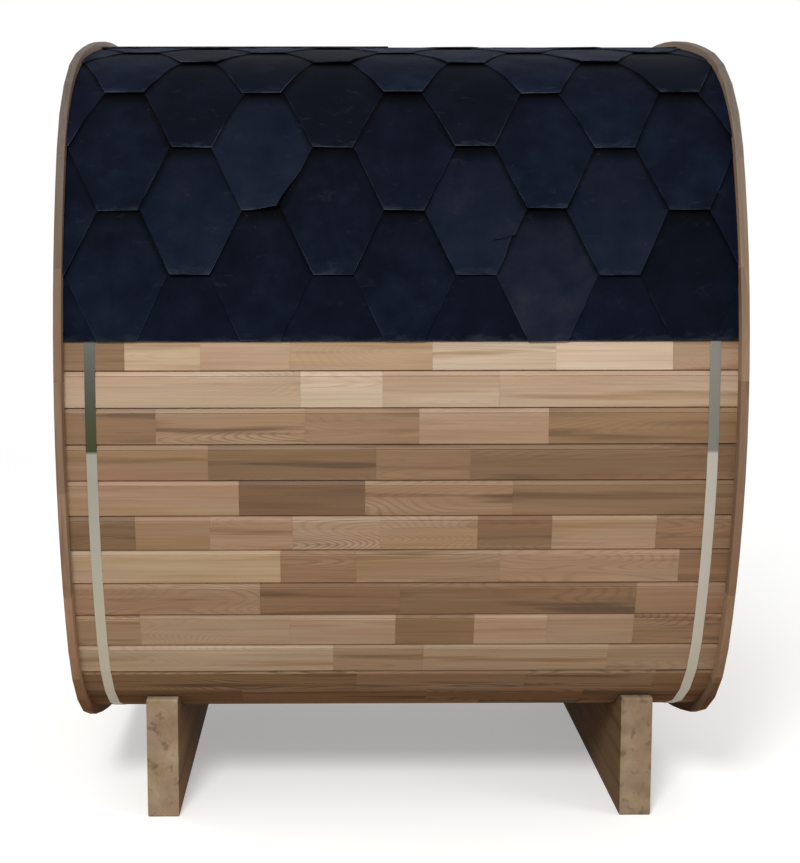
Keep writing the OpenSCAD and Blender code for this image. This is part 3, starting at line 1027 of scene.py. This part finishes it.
def board(bm, grain_axes, tone, ease=EASE, butted=False):
    """Eases a board's sharp edges, but not round butted ends, stores how its wood looks,
    and returns its mesh."""
    bm.normal_update()  # faces made in code have no normal yet, and the angles need them
    bmesh.ops.recalc_face_normals(bm, faces=bm.faces[:])
    ends = {f for f in bm.faces if butted and abs(f.normal.dot(grain_axes[0])) > 0.7}
    edges = [e for e in bm.edges if e.calc_face_angle(0) > SHARP_EDGE and ends.isdisjoint(e.link_faces)]
    bmesh.ops.bevel(bm, geom=edges, offset=ease, segments=2, profile=0.6, affect="EDGES",
                    clamp_overlap=True)
    bmesh.ops.dissolve_degenerate(bm, dist=WELD, edges=bm.edges[:])
    mesh = finished(bm, "board")
    shift = random.uniform(0, 40) * Vector(GRAIN_STEP)
    grain = [Vector([v.co.dot(axis) for axis in grain_axes]) + shift for v in mesh.vertices]
    set_attribute(mesh, "grain", grain)
    for key, value in (("tone", tone), ("figure", random.uniform(0.7, 1.4))):
        set_attribute(mesh, key, [value] * len(mesh.vertices))
    return mesh


def prism(section, far):
    """A closed solid from a polygon of points, carried along the vector far."""
    bm = bmesh.new()
    near_ring = [bm.verts.new(p) for p in section]
    far_ring = [bm.verts.new(Vector(p) + far) for p in section]
    bm.faces.new(near_ring)
    bm.faces.new(far_ring[::-1])
    bridge(bm, [far_ring, near_ring])
    return bm


def straight_board(low, high, grain, tone, ease=EASE):
    """A straight board between two corners, its grain along Y or Z."""
    (x0, y0, z0), (x1, y1, z1) = low, high
    section = [(x0, y0, z0), (x0, y1, z0), (x0, y1, z1), (x0, y0, z1)]
    return board(prism(section, (x1 - x0) * X_AXIS), GRAIN_AXES[grain], tone, ease)


print("edges are eased by", EASE / MM, "mm")

# %% [markdown]
# ## Rims
# Each end of the barrel is rimmed with short boards, sawn so that their outer edge
# follows the staves, three staves to a board. They hide the stave ends and stand a
# little proud. Weather has turned their outer edges grey, more so on top.

# %% Rim boards
RIM_JOINT = 1.72  # where the first board starts, in staves round the ring
RIM_SPAN = 3  # staves to a board
RIM_PROUD = 24 * MM
RIM_W = 90 * MM
RIM_T = 19.2 * MM  # leaves room in the frame's 20 mm for the screws' domes
RIM_GAP = 0.001  # of a stave, at each end of a board
RIM_TONE = {-1: 0.54, 1: 0.66}  # by side
# By side and board: how much paler some boards on the near side are.
PALER_RIM = {-1: {1: 0.07, 3: -0.11}, 1: {0: -0.10, 2: 0.10, 3: 0.22, 4: 0.20, 23: 0.16}}
# Cedar left bare in the rain: dull, rough, and greyer towards the top.
RIM_TONES = ["#4c392b", "#604d3c", "#745c48", "#8c745f", "#a88c72"]
WIDEST_Z = (joint(0).z + joint(PER_SIDE).z) / 2  # where the barrel is widest
rim_wood = wood("weathered_cedar", RIM_TONES, ring_share=0.10, streak_share=0.13, roughness=0.7,
                shine=0.3, weathered=(WIDEST_Z - 0.10, WIDEST_Z + 0.57))
random.seed(5)


def on_ring(n, d):
    """The place n staves round, at a distance d outside the staves."""
    whole = math.floor(n)
    return joint(whole, d).lerp(joint(whole + 1, d), n - whole)


def rim_tone(k, side):
    """A board's tone. The left rim's boards are painted paler the more they face down: painted light on
    boards that turn away from the lamps.
    """
    tone = random.gauss(RIM_TONE[side], 0.05) + PALER_RIM[side].get(k, 0)
    down = -outward(math.floor(RIM_JOINT + RIM_SPAN * k) + 1).z
    return tone + (min(max(1.5 * down, 0), 0.4) if side < 0 else 0)


def rim_board(k, side):
    """Board k of a rim, with a corner at each stave joint that it passes."""
    start = RIM_JOINT + RIM_SPAN * k
    first = math.ceil(start)
    stops = [start + RIM_GAP, *range(first, first + RIM_SPAN), start + RIM_SPAN - RIM_GAP]
    outer = [on_ring(n, RIM_PROUD) for n in stops]
    inner = [on_ring(n, RIM_PROUD - RIM_W) for n in reversed(stops)]
    bm = prism([side * STAVE_X * X_AXIS + p for p in outer + inner], side * RIM_T * X_AXIS)
    run = (outer[-1] - outer[0]).normalized()
    return board(bm, (run, run.cross(X_AXIS), X_AXIS), rim_tone(k, side), butted=True)


RIM_PARTS = ("front", "front_top", "top", "back_top", "back", "back_bottom", "bottom", "front_bottom")
for side, word in ((-1, "left"), (1, "right")):
    boards = [rim_board(k, side) for k in range(STAVES // RIM_SPAN)]
    nodes = [f"rim_{word}_{part}" for part in RIM_PARTS]
    keep(f"rim_boards_{word}", joined("rim", boards), nodes, rim_wood)

# %% [markdown]
# ## Supports
# Two heavy timbers stand on edge under the barrel, hollowed to its curve. Their sawn
# ends face the near side: square, mottled by damp and handling, with a knot here and
# there and the arrises taken off.

# %% Support timbers
SUPPORT_GAP = 0.4 * MM  # to the staves
SUPPORT_EASE = 4 * MM
# Softwood from the saw: rough and dull, mottled grey and brown by damp. Its long sides get painted shade.
SUPPORT_TONES = ["#675645", "#81715d", "#9c8b75", "#b0a087", "#c2b59c"]
support_wood = wood("rough_sawn_softwood", SUPPORT_TONES, ring_share=0.06, streak_share=0.10, rings=40,
                    roughness=0.75, shine=0.1, mottle=0.8, knots=0.05, shaded_sides="#cbb59e")


def crossing(points, z, side):
    """Where the run of points crosses the height z, on the side y > 0 or y < 0."""
    for a, b in zip(points, points[1:]):
        if (a.z - z) * (b.z - z) <= 0 and a.y * side > 0:
            return a.y + (b.y - a.y) * (z - a.z) / (b.z - a.z)
    raise ValueError("the support does not reach the barrel")


def support_timber(word, tone):
    """One timber in the place of the frame's beam and cradle, hollowed to the barrel."""
    low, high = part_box(f"support_{word}_beam")[0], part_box(f"support_{word}_cradle")[1]
    lowest = 3 * PER_SIDE + MID_SIDE
    touch = [joint(lowest + j, SUPPORT_GAP) for j in range(-SIDE_STAVES, SIDE_STAVES + 1)]
    under = sorted(((p.y, p.z) for p in touch if p.z < high.z and abs(p.y) < high.y), reverse=True)
    first, last = crossing(touch, high.z, 1), crossing(touch, high.z, -1)
    profile = [(low.y, 0), (high.y, 0), (high.y, high.z), (first, high.z), *under, (last, high.z),
               (low.y, high.z)]
    bm = prism([(low.x, y, z) for y, z in profile], (high.x - low.x) * X_AXIS)
    return board(bm, (Y_AXIS, X_AXIS, Z_AXIS), tone, SUPPORT_EASE)


for word, tone in (("left", 0.56), ("right", 0.5)):
    nodes = [f"support_{word}_beam", f"support_{word}_cradle"]
    keep(f"support_timber_{word}", support_timber(word, tone), nodes, support_wood)

# %% [markdown]
# ## Steel bands
# A flat stainless strap runs round the barrel near each end and under the roof. It is
# thin, so it bends over every joint with a small radius, which three short sections
# make. The steel is brushed along its length and dull where the packing film left a
# haze. The reflections that its stretches show are painted into its colour by height:
# pale grey low down, darker olive or grey on the upper stretches.

# %% Band meshes
BAND_T = 1.0 * MM
BAND_EDGE = 0.3 * MM
BAND_GAP = 0.05 * MM  # to the staves
BEND = 6 * MM  # how far from a joint the strap starts to turn


def band_places(d):
    """Points round the ring, three at each joint, for a rounded bend."""
    places = []
    for j in range(STAVES):
        here = joint(j, d)
        before, after = here - along(j - 1) * BEND, here + along(j) * BEND
        places += [before, (before + after) * 0.25 + here * 0.5, after]
    return places


def band_mesh(node):
    """A strap with rounded edges round the staves, in the frame's band's place."""
    low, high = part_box(node)
    r = BAND_EDGE
    section = [(low.x + r, BAND_GAP), (high.x - r, BAND_GAP), (high.x, r), (high.x, BAND_T - r),
               (high.x - r, BAND_T), (low.x + r, BAND_T), (low.x, BAND_T - r), (low.x, r)]
    bm = bmesh.new()
    loops = [[bm.verts.new(x * X_AXIS + p) for p in band_places(d)] for x, d in section]
    bridge(bm, loops + loops[:1])
    return finished(bm, node)


bands = {word: band_mesh(f"band_{word}") for word in ("left", "right")}
print("band:", len(bands["left"].polygons), "faces")

# %% Brushed steel


def brushed_steel(name, stops):
    """Stainless steel, brushed: fine lines and a broad sheen. stops are (height in m, hex) for its colour by
    height, which on the bands is painted reflection.
    """
    material, node = new_material(name)
    place = node("ShaderNodeTexCoord").outputs["Object"]
    z = node("SPLIT", place).outputs["Z"]
    brush_at = node("VECTOR MULTIPLY", place, per_metre(0.7, 50, 50))  # real lines: 0.1 mm
    brush = node("NOISE", {"Vector": brush_at, "Scale": 1, "Detail": 2})
    haze = node("NOISE", {"Vector": place, "Scale": 1000 / 70, "Detail": 3})  # patches of 70 mm
    colour_by_height = node("RAMP", node("MATH DIVIDE", z, 2.0), stops=[(height / 2, colour) for height, colour in stops])
    hazy = node("MATH MULTIPLY_ADD", haze, 0.16, 0.85)
    light = node("MATH MULTIPLY_ADD", brush, 0.14, hazy)
    colour = node("VECTOR SCALE", {0: colour_by_height, "Scale": light})
    rough = node("MATH MULTIPLY_ADD", haze, 0.25, 0.36)
    end_material(node, colour, rough, brush, 0.15, 0.1, Metallic=0.7)
    return material


# The bands' colour by height in m: the reflections of their stretches, painted in.
BAND_PAINTED_REFLECTIONS = {
    "left": [(0.0, "#8d8a7e"), (0.35, "#b2ab98"), (0.9675, "#949488"), (0.9685, "#393d20"),
             (1.07, "#434636"), (1.13, "#4c4d47"), (1.25, "#5a5b56")],
    "right": [(0.0, "#8d8a7e"), (0.35, "#b0aa9a"), (0.9675, "#b0aaa1"), (0.9685, "#76756c"),
              (1.25, "#7a7971")],
}
for word, stops in BAND_PAINTED_REFLECTIONS.items():
    keep(f"steel_band_{word}", bands[word], [f"band_{word}"],
         brushed_steel(f"brushed_stainless_{word}", stops))

# %% [markdown]
# ## End walls
# Each end is closed by upright tongue-and-groove boards set in a groove in the staves.
# The joint shows as a small V where two boards' eased edges meet. The frame already
# holds the wall's outline, so each board is cut out of a copy of it by two planes.

# %% Boards cut from a wall
WALL_BOARD = 96 * MM
WALL_GAP = 0.15 * MM  # on each side of a joint
NARROWEST = 6 * MM
GROOVE_EASE = 2.5 * MM  # two of these make the V
WALL_TONE = (0.5, 0.13)
# Cedar, planed but not oiled: a little duller than the staves.
wall_wood = wood("planed_cedar", CEDAR_TONES, roughness=0.67)
random.seed(77)


def clean_copy(node):
    """The node's shape as a solid with whole faces."""
    bm = bmesh.new()
    bm.from_mesh(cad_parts[node].data)
    bmesh.ops.remove_doubles(bm, verts=bm.verts[:], dist=WELD)
    bmesh.ops.dissolve_limit(bm, angle_limit=math.radians(0.3), verts=bm.verts[:], edges=bm.edges[:])
    return finished(bm, node)


def wall_boards(node):
    """Upright boards, on one grid of widths across both walls."""
    low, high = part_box(node)
    boards = []
    for k in range(math.floor(low.y / WALL_BOARD), math.ceil(high.y / WALL_BOARD)):
        y0, y1 = max(k * WALL_BOARD, low.y), min((k + 1) * WALL_BOARD, high.y)
        if y1 - y0 < NARROWEST:
            continue
        cuts = [((y0 + WALL_GAP) * Y_AXIS, -Y_AXIS)] if y0 > low.y else []
        cuts += [((y1 - WALL_GAP) * Y_AXIS, Y_AXIS)] if y1 < high.y else []
        bm = bmesh.new()
        bm.from_mesh(trimmed(clean_copy(node), *cuts))
        boards.append(board(bm, GRAIN_AXES["Z"], random.gauss(*WALL_TONE), GROOVE_EASE))
    return boards


RIGHT_WALL = ["right_end_wall_front", "right_end_wall_back", "right_end_wall_head", "right_end_wall_sill"]
for word, nodes in (("left", ["left_end_wall"]), ("right", RIGHT_WALL)):
    boards = [b for node in nodes for b in wall_boards(node)]
    keep(f"end_boards_{word}", joined("end", boards), nodes, wall_wood)

# %% [markdown]
# ## The door
# The way in is a plain plank door in the right end: a frame of four boards, six upright
# planks screwed to two ledges, a turned pull and two butt hinges.

# %% Door frame and leaf
# Trim from darker heartwood, oiled, so it frames the paler planks.
frame_wood = wood("oiled_cedar_heartwood", ["#5b4030", "#71523e", "#86644c", "#99765b"], roughness=0.6)
FRAME_T = 32 * MM
LEDGE_W = 110 * MM
LEDGE_T = 20 * MM
LEDGE_INSET = 140 * MM
PLANKS = 6
PLANK_GAP = 0.2 * MM
LEDGE_BACK = 2 * MM  # from the leaf's edges
LEDGE_EASE = 4 * MM
TRIM_TONE, PLANK_TONE, LEDGE_TONE = (0.5, 0.1), (0.5, 0.14), (0.4, 0.1)
leaf_low, leaf_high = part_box("door_leaf")
plank_w = (leaf_high.y - leaf_low.y) / PLANKS
ledge_heights = [leaf_low.z + LEDGE_INSET, leaf_high.z - LEDGE_INSET - LEDGE_W]


def door_frame_boards():
    (x0, y0, z0), (x1, y1, z1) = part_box("door_frame")
    sides = [straight_board((x0, a, z0), (x1, a + FRAME_T, z1), "Z", random.gauss(*TRIM_TONE))
             for a in (y0, y1 - FRAME_T)]
    rails = [straight_board((x0, y0 + FRAME_T, a), (x1, y1 - FRAME_T, a + FRAME_T), "Y",
                            random.gauss(*TRIM_TONE)) for a in (z0, z1 - FRAME_T)]
    return joined("door_frame", sides + rails)


def door_planks():
    (x0, y0, z0), (x1, y1, z1) = leaf_low, leaf_high
    edges = [(y0 + k * plank_w + PLANK_GAP, y0 + (k + 1) * plank_w - PLANK_GAP) for k in range(PLANKS)]
    planks = [straight_board((x0, a, z0), (x1 - LEDGE_T, b, z1), "Z", random.gauss(*PLANK_TONE),
                             GROOVE_EASE) for a, b in edges]
    ledges = [straight_board((x1 - LEDGE_T, y0 + LEDGE_BACK, z), (x1, y1 - LEDGE_BACK, z + LEDGE_W), "Y",
                             random.gauss(*LEDGE_TONE), LEDGE_EASE) for z in ledge_heights]
    return joined("door_planks", planks + ledges)


keep("door_frame_boards", door_frame_boards(), ["door_frame"], frame_wood)
keep("door_planks", door_planks(), ["door_leaf"], wall_wood)

# %% The pull
PULL_R = 15 * MM
PULL_WAIST = 2.5 * MM
PULL_END = 14 * MM
PULL_RINGS = 48


def turned(profile, place, axis, segments=32):
    """A lathe-turned solid: profile is (distance along axis, radius) from end to end."""
    bm = bmesh.new()
    third = axis.cross(Y_AXIS)
    turns = [math.tau * k / segments for k in range(segments)]
    spokes = [Y_AXIS * math.cos(t) + third * math.sin(t) for t in turns]
    rings = [[bm.verts.new(place + axis * run + spoke * radius) for spoke in spokes]
             for run, radius in profile[1:-1]]
    bridge(bm, rings)
    for tip, ring in ((profile[0], rings[0][::-1]), (profile[-1], rings[-1])):
        middle = bm.verts.new(place + axis * tip[0])
        for k in range(segments):
            bm.faces.new([middle, ring[k - 1], ring[k]])
    return bm


def pull_mesh():
    """A turned bar, a little thinner at its waist, on two posts."""
    low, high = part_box("door_pull")
    x, y = high.x - PULL_R, (low.y + high.y) / 2
    length, reach = high.z - low.z, x - low.x
    bar = [(0, 0)]
    for t in (k / PULL_RINGS for k in range(PULL_RINGS + 1)):
        end = min(t, 1 - t) * length / PULL_END
        rounding = math.sqrt(max(1 - (1 - min(end, 1)) ** 2, 0.03))
        waist = PULL_WAIST * (0.5 + 0.5 * math.cos(math.tau * (t - 0.5)))
        bar.append((t * length, (PULL_R - waist) * rounding))
    parts = [turned(bar + [(length, 0)], Vector((x, y, low.z)), Z_AXIS)]
    foot, neck = 0.8 * PULL_R, 0.6 * PULL_R
    post = [(0, 0), (0, foot), (4 * MM, foot), (7 * MM, neck), (reach, neck), (reach, 0)]
    for z in (low.z + 3 * PULL_R, high.z - 3 * PULL_R):
        parts.append(turned(post, Vector((low.x, y, z)), X_AXIS))
    return joined("pull", [board(bm, GRAIN_AXES["Z"], tone=0.55, ease=0.1 * MM) for bm in parts])


# Cedar turned on a lathe and oiled: smooth, with a clear sheen.
pull_wood = wood("oiled_turned_cedar", CEDAR_TONES[:4], ring_share=0.08, roughness=0.45)
keep("turned_pull", pull_mesh(), ["door_pull"], pull_wood, sharp=30)

# %% The hinges
HINGE_H = 90 * MM
HINGE_R = 7 * MM
HINGE_T = 3 * MM
KNUCKLES = 5
KNUCKLE_GAP = 0.3 * MM
HINGE_EASE = 0.8 * MM
hinge_low, hinge_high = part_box("door_hinges")
hinge_feet = (hinge_low.z, hinge_high.z - HINGE_H)


def hinge_mesh():
    """Two butt hinges: a plate with eased corners behind a knuckle in five parts."""
    y = (hinge_low.y + hinge_high.y) / 2
    run, e = HINGE_H / KNUCKLES - 2 * KNUCKLE_GAP, HINGE_EASE
    knuckle = [(0, 0), (0, HINGE_R - e), (e, HINGE_R), (run - e, HINGE_R), (run, HINGE_R - e), (run, 0)]
    parts = []
    for z in hinge_feet:
        plate_end = (hinge_low.x + HINGE_T, hinge_high.y, z + HINGE_H)
        parts.append(straight_board((hinge_low.x, hinge_low.y, z), plate_end, "Z", 0.5, e))
        for k in range(KNUCKLES):
            foot = Vector((hinge_low.x + HINGE_R, y, z + k * HINGE_H / KNUCKLES + KNUCKLE_GAP))
            parts.append(finished(turned(knuckle, foot, Z_AXIS, 24), "knuckle"))
    return joined("hinges", parts)


hinge_steel = brushed_steel("brushed_stainless_hinges", [(0, "#9a9a98"), (2, "#a6a6a3")])
keep("butt_hinges", hinge_mesh(), ["door_hinges"], hinge_steel, sharp=30)

# %% [markdown]
# ## Screws
# Stainless countersunk screws hold the rims, the ledges and the hinges. They are the
# same screw over a hundred times, so one head with a driver recess is copied by a tree to
# guide points that store the way each screw faces. Each is turned by a random angle,
# as a hand leaves it.

# %% Screw head and its tree
SCREW_R = 4 * MM
SCREW_SINK = 0.2 * MM
RECESS_SIDES = 12


def screw_head():
    """A shallow dome with a recess, facing Z, from rings of (share of the radius, height in mm)."""
    profile = [(1, -1.2), (1, 0.1), (0.85, 0.45), (0.45, 0.6), (0.40, -0.8)]
    turns = [math.tau * k / RECESS_SIDES for k in range(RECESS_SIDES)]
    bm = bmesh.new()
    rings = [[bm.verts.new((SCREW_R * r * math.cos(t), SCREW_R * r * math.sin(t), z * MM)) for t in turns]
             for r, z in profile]
    bridge(bm, rings)
    bm.faces.new(rings[0][::-1])
    bm.faces.new(rings[-1])
    return bpy.data.objects.new("screw_head", finished(bm, "screw_head"))


def screw_tree():
    """Sets a screw at each guide point, facing the way that is stored there."""
    tree, node, inputs = new_tree("set_screws", Screw="Object", Steel="Material", Sink="Float", Seed="Int")
    facing = node("STORED", {"Name": "facing"}, data_type="FLOAT_VECTOR")
    shape = node("GeometryNodeObjectInfo", {"Object": inputs["Screw"]})
    align = node("FunctionNodeAlignRotationToVector", {"Vector": facing}, axis="Z")
    angle = node("FunctionNodeRandomValue", {"Max": math.tau, "Seed": inputs["Seed"]}, data_type="FLOAT")
    spin = node("FunctionNodeAxisAngleToRotation", {"Axis": (0, 0, 1), "Angle": angle})
    turn = node("FunctionNodeRotateRotation", {"Rotation": align, "Rotate By": spin}, rotation_space="LOCAL")
    depth = node("MATH MULTIPLY", inputs["Sink"], -1.0)
    offset = node("VECTOR SCALE", {0: facing, "Scale": depth})
    sunk = node("GeometryNodeSetPosition", {"Geometry": inputs["Geometry"], "Offset": offset})
    copies = node("GeometryNodeInstanceOnPoints",
                  {"Points": sunk, "Instance": shape.outputs["Geometry"], "Rotation": turn})
    real = node("GeometryNodeRealizeInstances", copies)
    done = node("GeometryNodeSetMaterial", {"Geometry": real, "Material": inputs["Steel"]})
    node("NodeGroupOutput", done)
    return tree


head = screw_head()
print("screw head:", len(head.data.polygons), "faces")

# %% Where the screws go
SCREW_IN = 18 * MM  # from the staves' faces, in a rim
RIM_SCREWS = 0.3  # of a stave, from a rim board's ends
LEDGE_SCREWS = ((-0.2, 0.3), (0.2, 0.7))  # from a plank's middle and up a ledge, as shares
LEDGE_SINK = 0.6 * MM  # how far their heads are driven in
HINGE_SCREWS = (14 * MM, 45 * MM, 76 * MM)  # up a hinge
HINGE_MARGIN = 10 * MM  # from its sides


def screw_places():
    """(place, facing) for every screw."""
    places = []
    for side in (-1, 1):
        x = side * (STAVE_X + RIM_T)
        for start in (RIM_JOINT + RIM_SPAN * k for k in range(STAVES // RIM_SPAN)):
            for n in (start + RIM_SCREWS, start + RIM_SPAN - RIM_SCREWS):
                places.append((x * X_AXIS + on_ring(n, -SCREW_IN), side * X_AXIS))
    for z in ledge_heights:
        for k in range(PLANKS):
            for dy, dz in LEDGE_SCREWS:
                y = leaf_low.y + (k + 0.5 + dy) * plank_w
                places.append((Vector((leaf_high.x - LEDGE_SINK, y, z + dz * LEDGE_W)), X_AXIS))
    for z in hinge_feet:
        for y in (hinge_low.y + HINGE_MARGIN, hinge_high.y - HINGE_MARGIN):
            for dz in HINGE_SCREWS:
                places.append((Vector((hinge_low.x + HINGE_T, y, z + dz)), X_AXIS))
    return places


screw_points, screw_facings = zip(*screw_places())
screw_guides = shape_mesh("screw_guides", screw_points, facing=screw_facings)
keep("screws", run_tree(screw_tree(), screw_guides, Screw=head, Steel=hinge_steel, Sink=SCREW_SINK, Seed=7),
     [], sharp=35)

# %% [markdown]
# ## Floor and light
# The sauna stands on a plain pale floor under soft, even studio light. One large lamp
# in front models the near side, and weaker ones at both ends and behind keep those
# sides from going dull. The background is white to the camera and to reflections, and
# the floor fades into it far from the sauna. Rays of soft light see a dimmer, warmer
# floor instead, so that it does not flood the underside.

# %% Floor and world
FLOOR_REACH = 30.0  # m from the middle


def camera_like_ray(node):
    """1 for rays from the camera, a mirror or glass, and 0 for rays of soft light."""
    path = node("ShaderNodeLightPath").outputs
    seen = node("MATH MAXIMUM", path["Is Camera Ray"], path["Is Glossy Ray"])
    return node("MATH MAXIMUM", seen, path["Is Transmission Ray"])


def add_floor():
    material, node = new_material("pale_studio_floor")
    place = node("ShaderNodeTexCoord").outputs["Object"]
    away = node("VECTOR LENGTH", place)
    fade = node("RANGE", away, 2.2, 6.0, interpolation_type="SMOOTHSTEP")
    lit = node("ShaderNodeBsdfDiffuse", {"Color": linear("#e4e4e2")})
    glow = node("ShaderNodeEmission", {"Strength": 0.34})
    near = node("ShaderNodeAddShader", lit, glow)
    seen = node("ShaderNodeMixShader", fade, near, node("ShaderNodeEmission", {"Strength": 1}))
    dim = node("ShaderNodeBsdfDiffuse", {"Color": linear("#84602a")})
    both = node("ShaderNodeMixShader", camera_like_ray(node), dim, seen)
    node("ShaderNodeOutputMaterial", {"Surface": both})
    r = FLOOR_REACH
    mesh = shape_mesh("studio_floor", [(-r, -r, 0), (r, -r, 0), (r, r, 0), (-r, r, 0)], [[0, 1, 2, 3]])
    mesh.materials.append(material)
    new_object("studio_floor", mesh)


def add_world():
    world = bpy.data.worlds.new("studio")
    world.use_nodes = True
    world.node_tree.nodes.clear()
    node = partial(add, world.node_tree)
    soft, white = (node("ShaderNodeBackground", {"Color": (1, 1, 1, 1), "Strength": strength})
                   for strength in (0.5, 1))
    both = node("ShaderNodeMixShader", camera_like_ray(node), soft, white)
    node("ShaderNodeOutputWorld", {"Surface": both})
    bpy.context.scene.world = world


add_floor()
add_world()
print("floor:", 2 * FLOOR_REACH, "m wide")

# %% Lamps
AIM = 0.9 * Z_AXIS  # the point that all lamps face
# Name: place, width in m, power in W.
LAMPS = {
    "key_lamp": ((-1.2, -4.9, 4.4), 1.6, 234),
    "left_lamp": ((-4.6, 0.9, 2.3), 2.4, 48),
    "right_lamp": ((4.6, -2.2, 2.3), 2.4, 66),
    "back_lamp": ((0.8, 5.4, 2.4), 2.4, 85),
}
for name, (place, size, power) in LAMPS.items():
    lamp = new_object(name, bpy.data.lights.new(name, "AREA"))
    lamp.data.shape = "DISK"
    lamp.data.size = size
    lamp.data.energy = power
    lamp.location = place
    lamp.rotation_euler = (AIM - lamp.location).to_track_quat("-Z", "Y").to_euler()
    print(name, power, "W")

bpy.context.scene.view_settings.view_transform = "Standard"
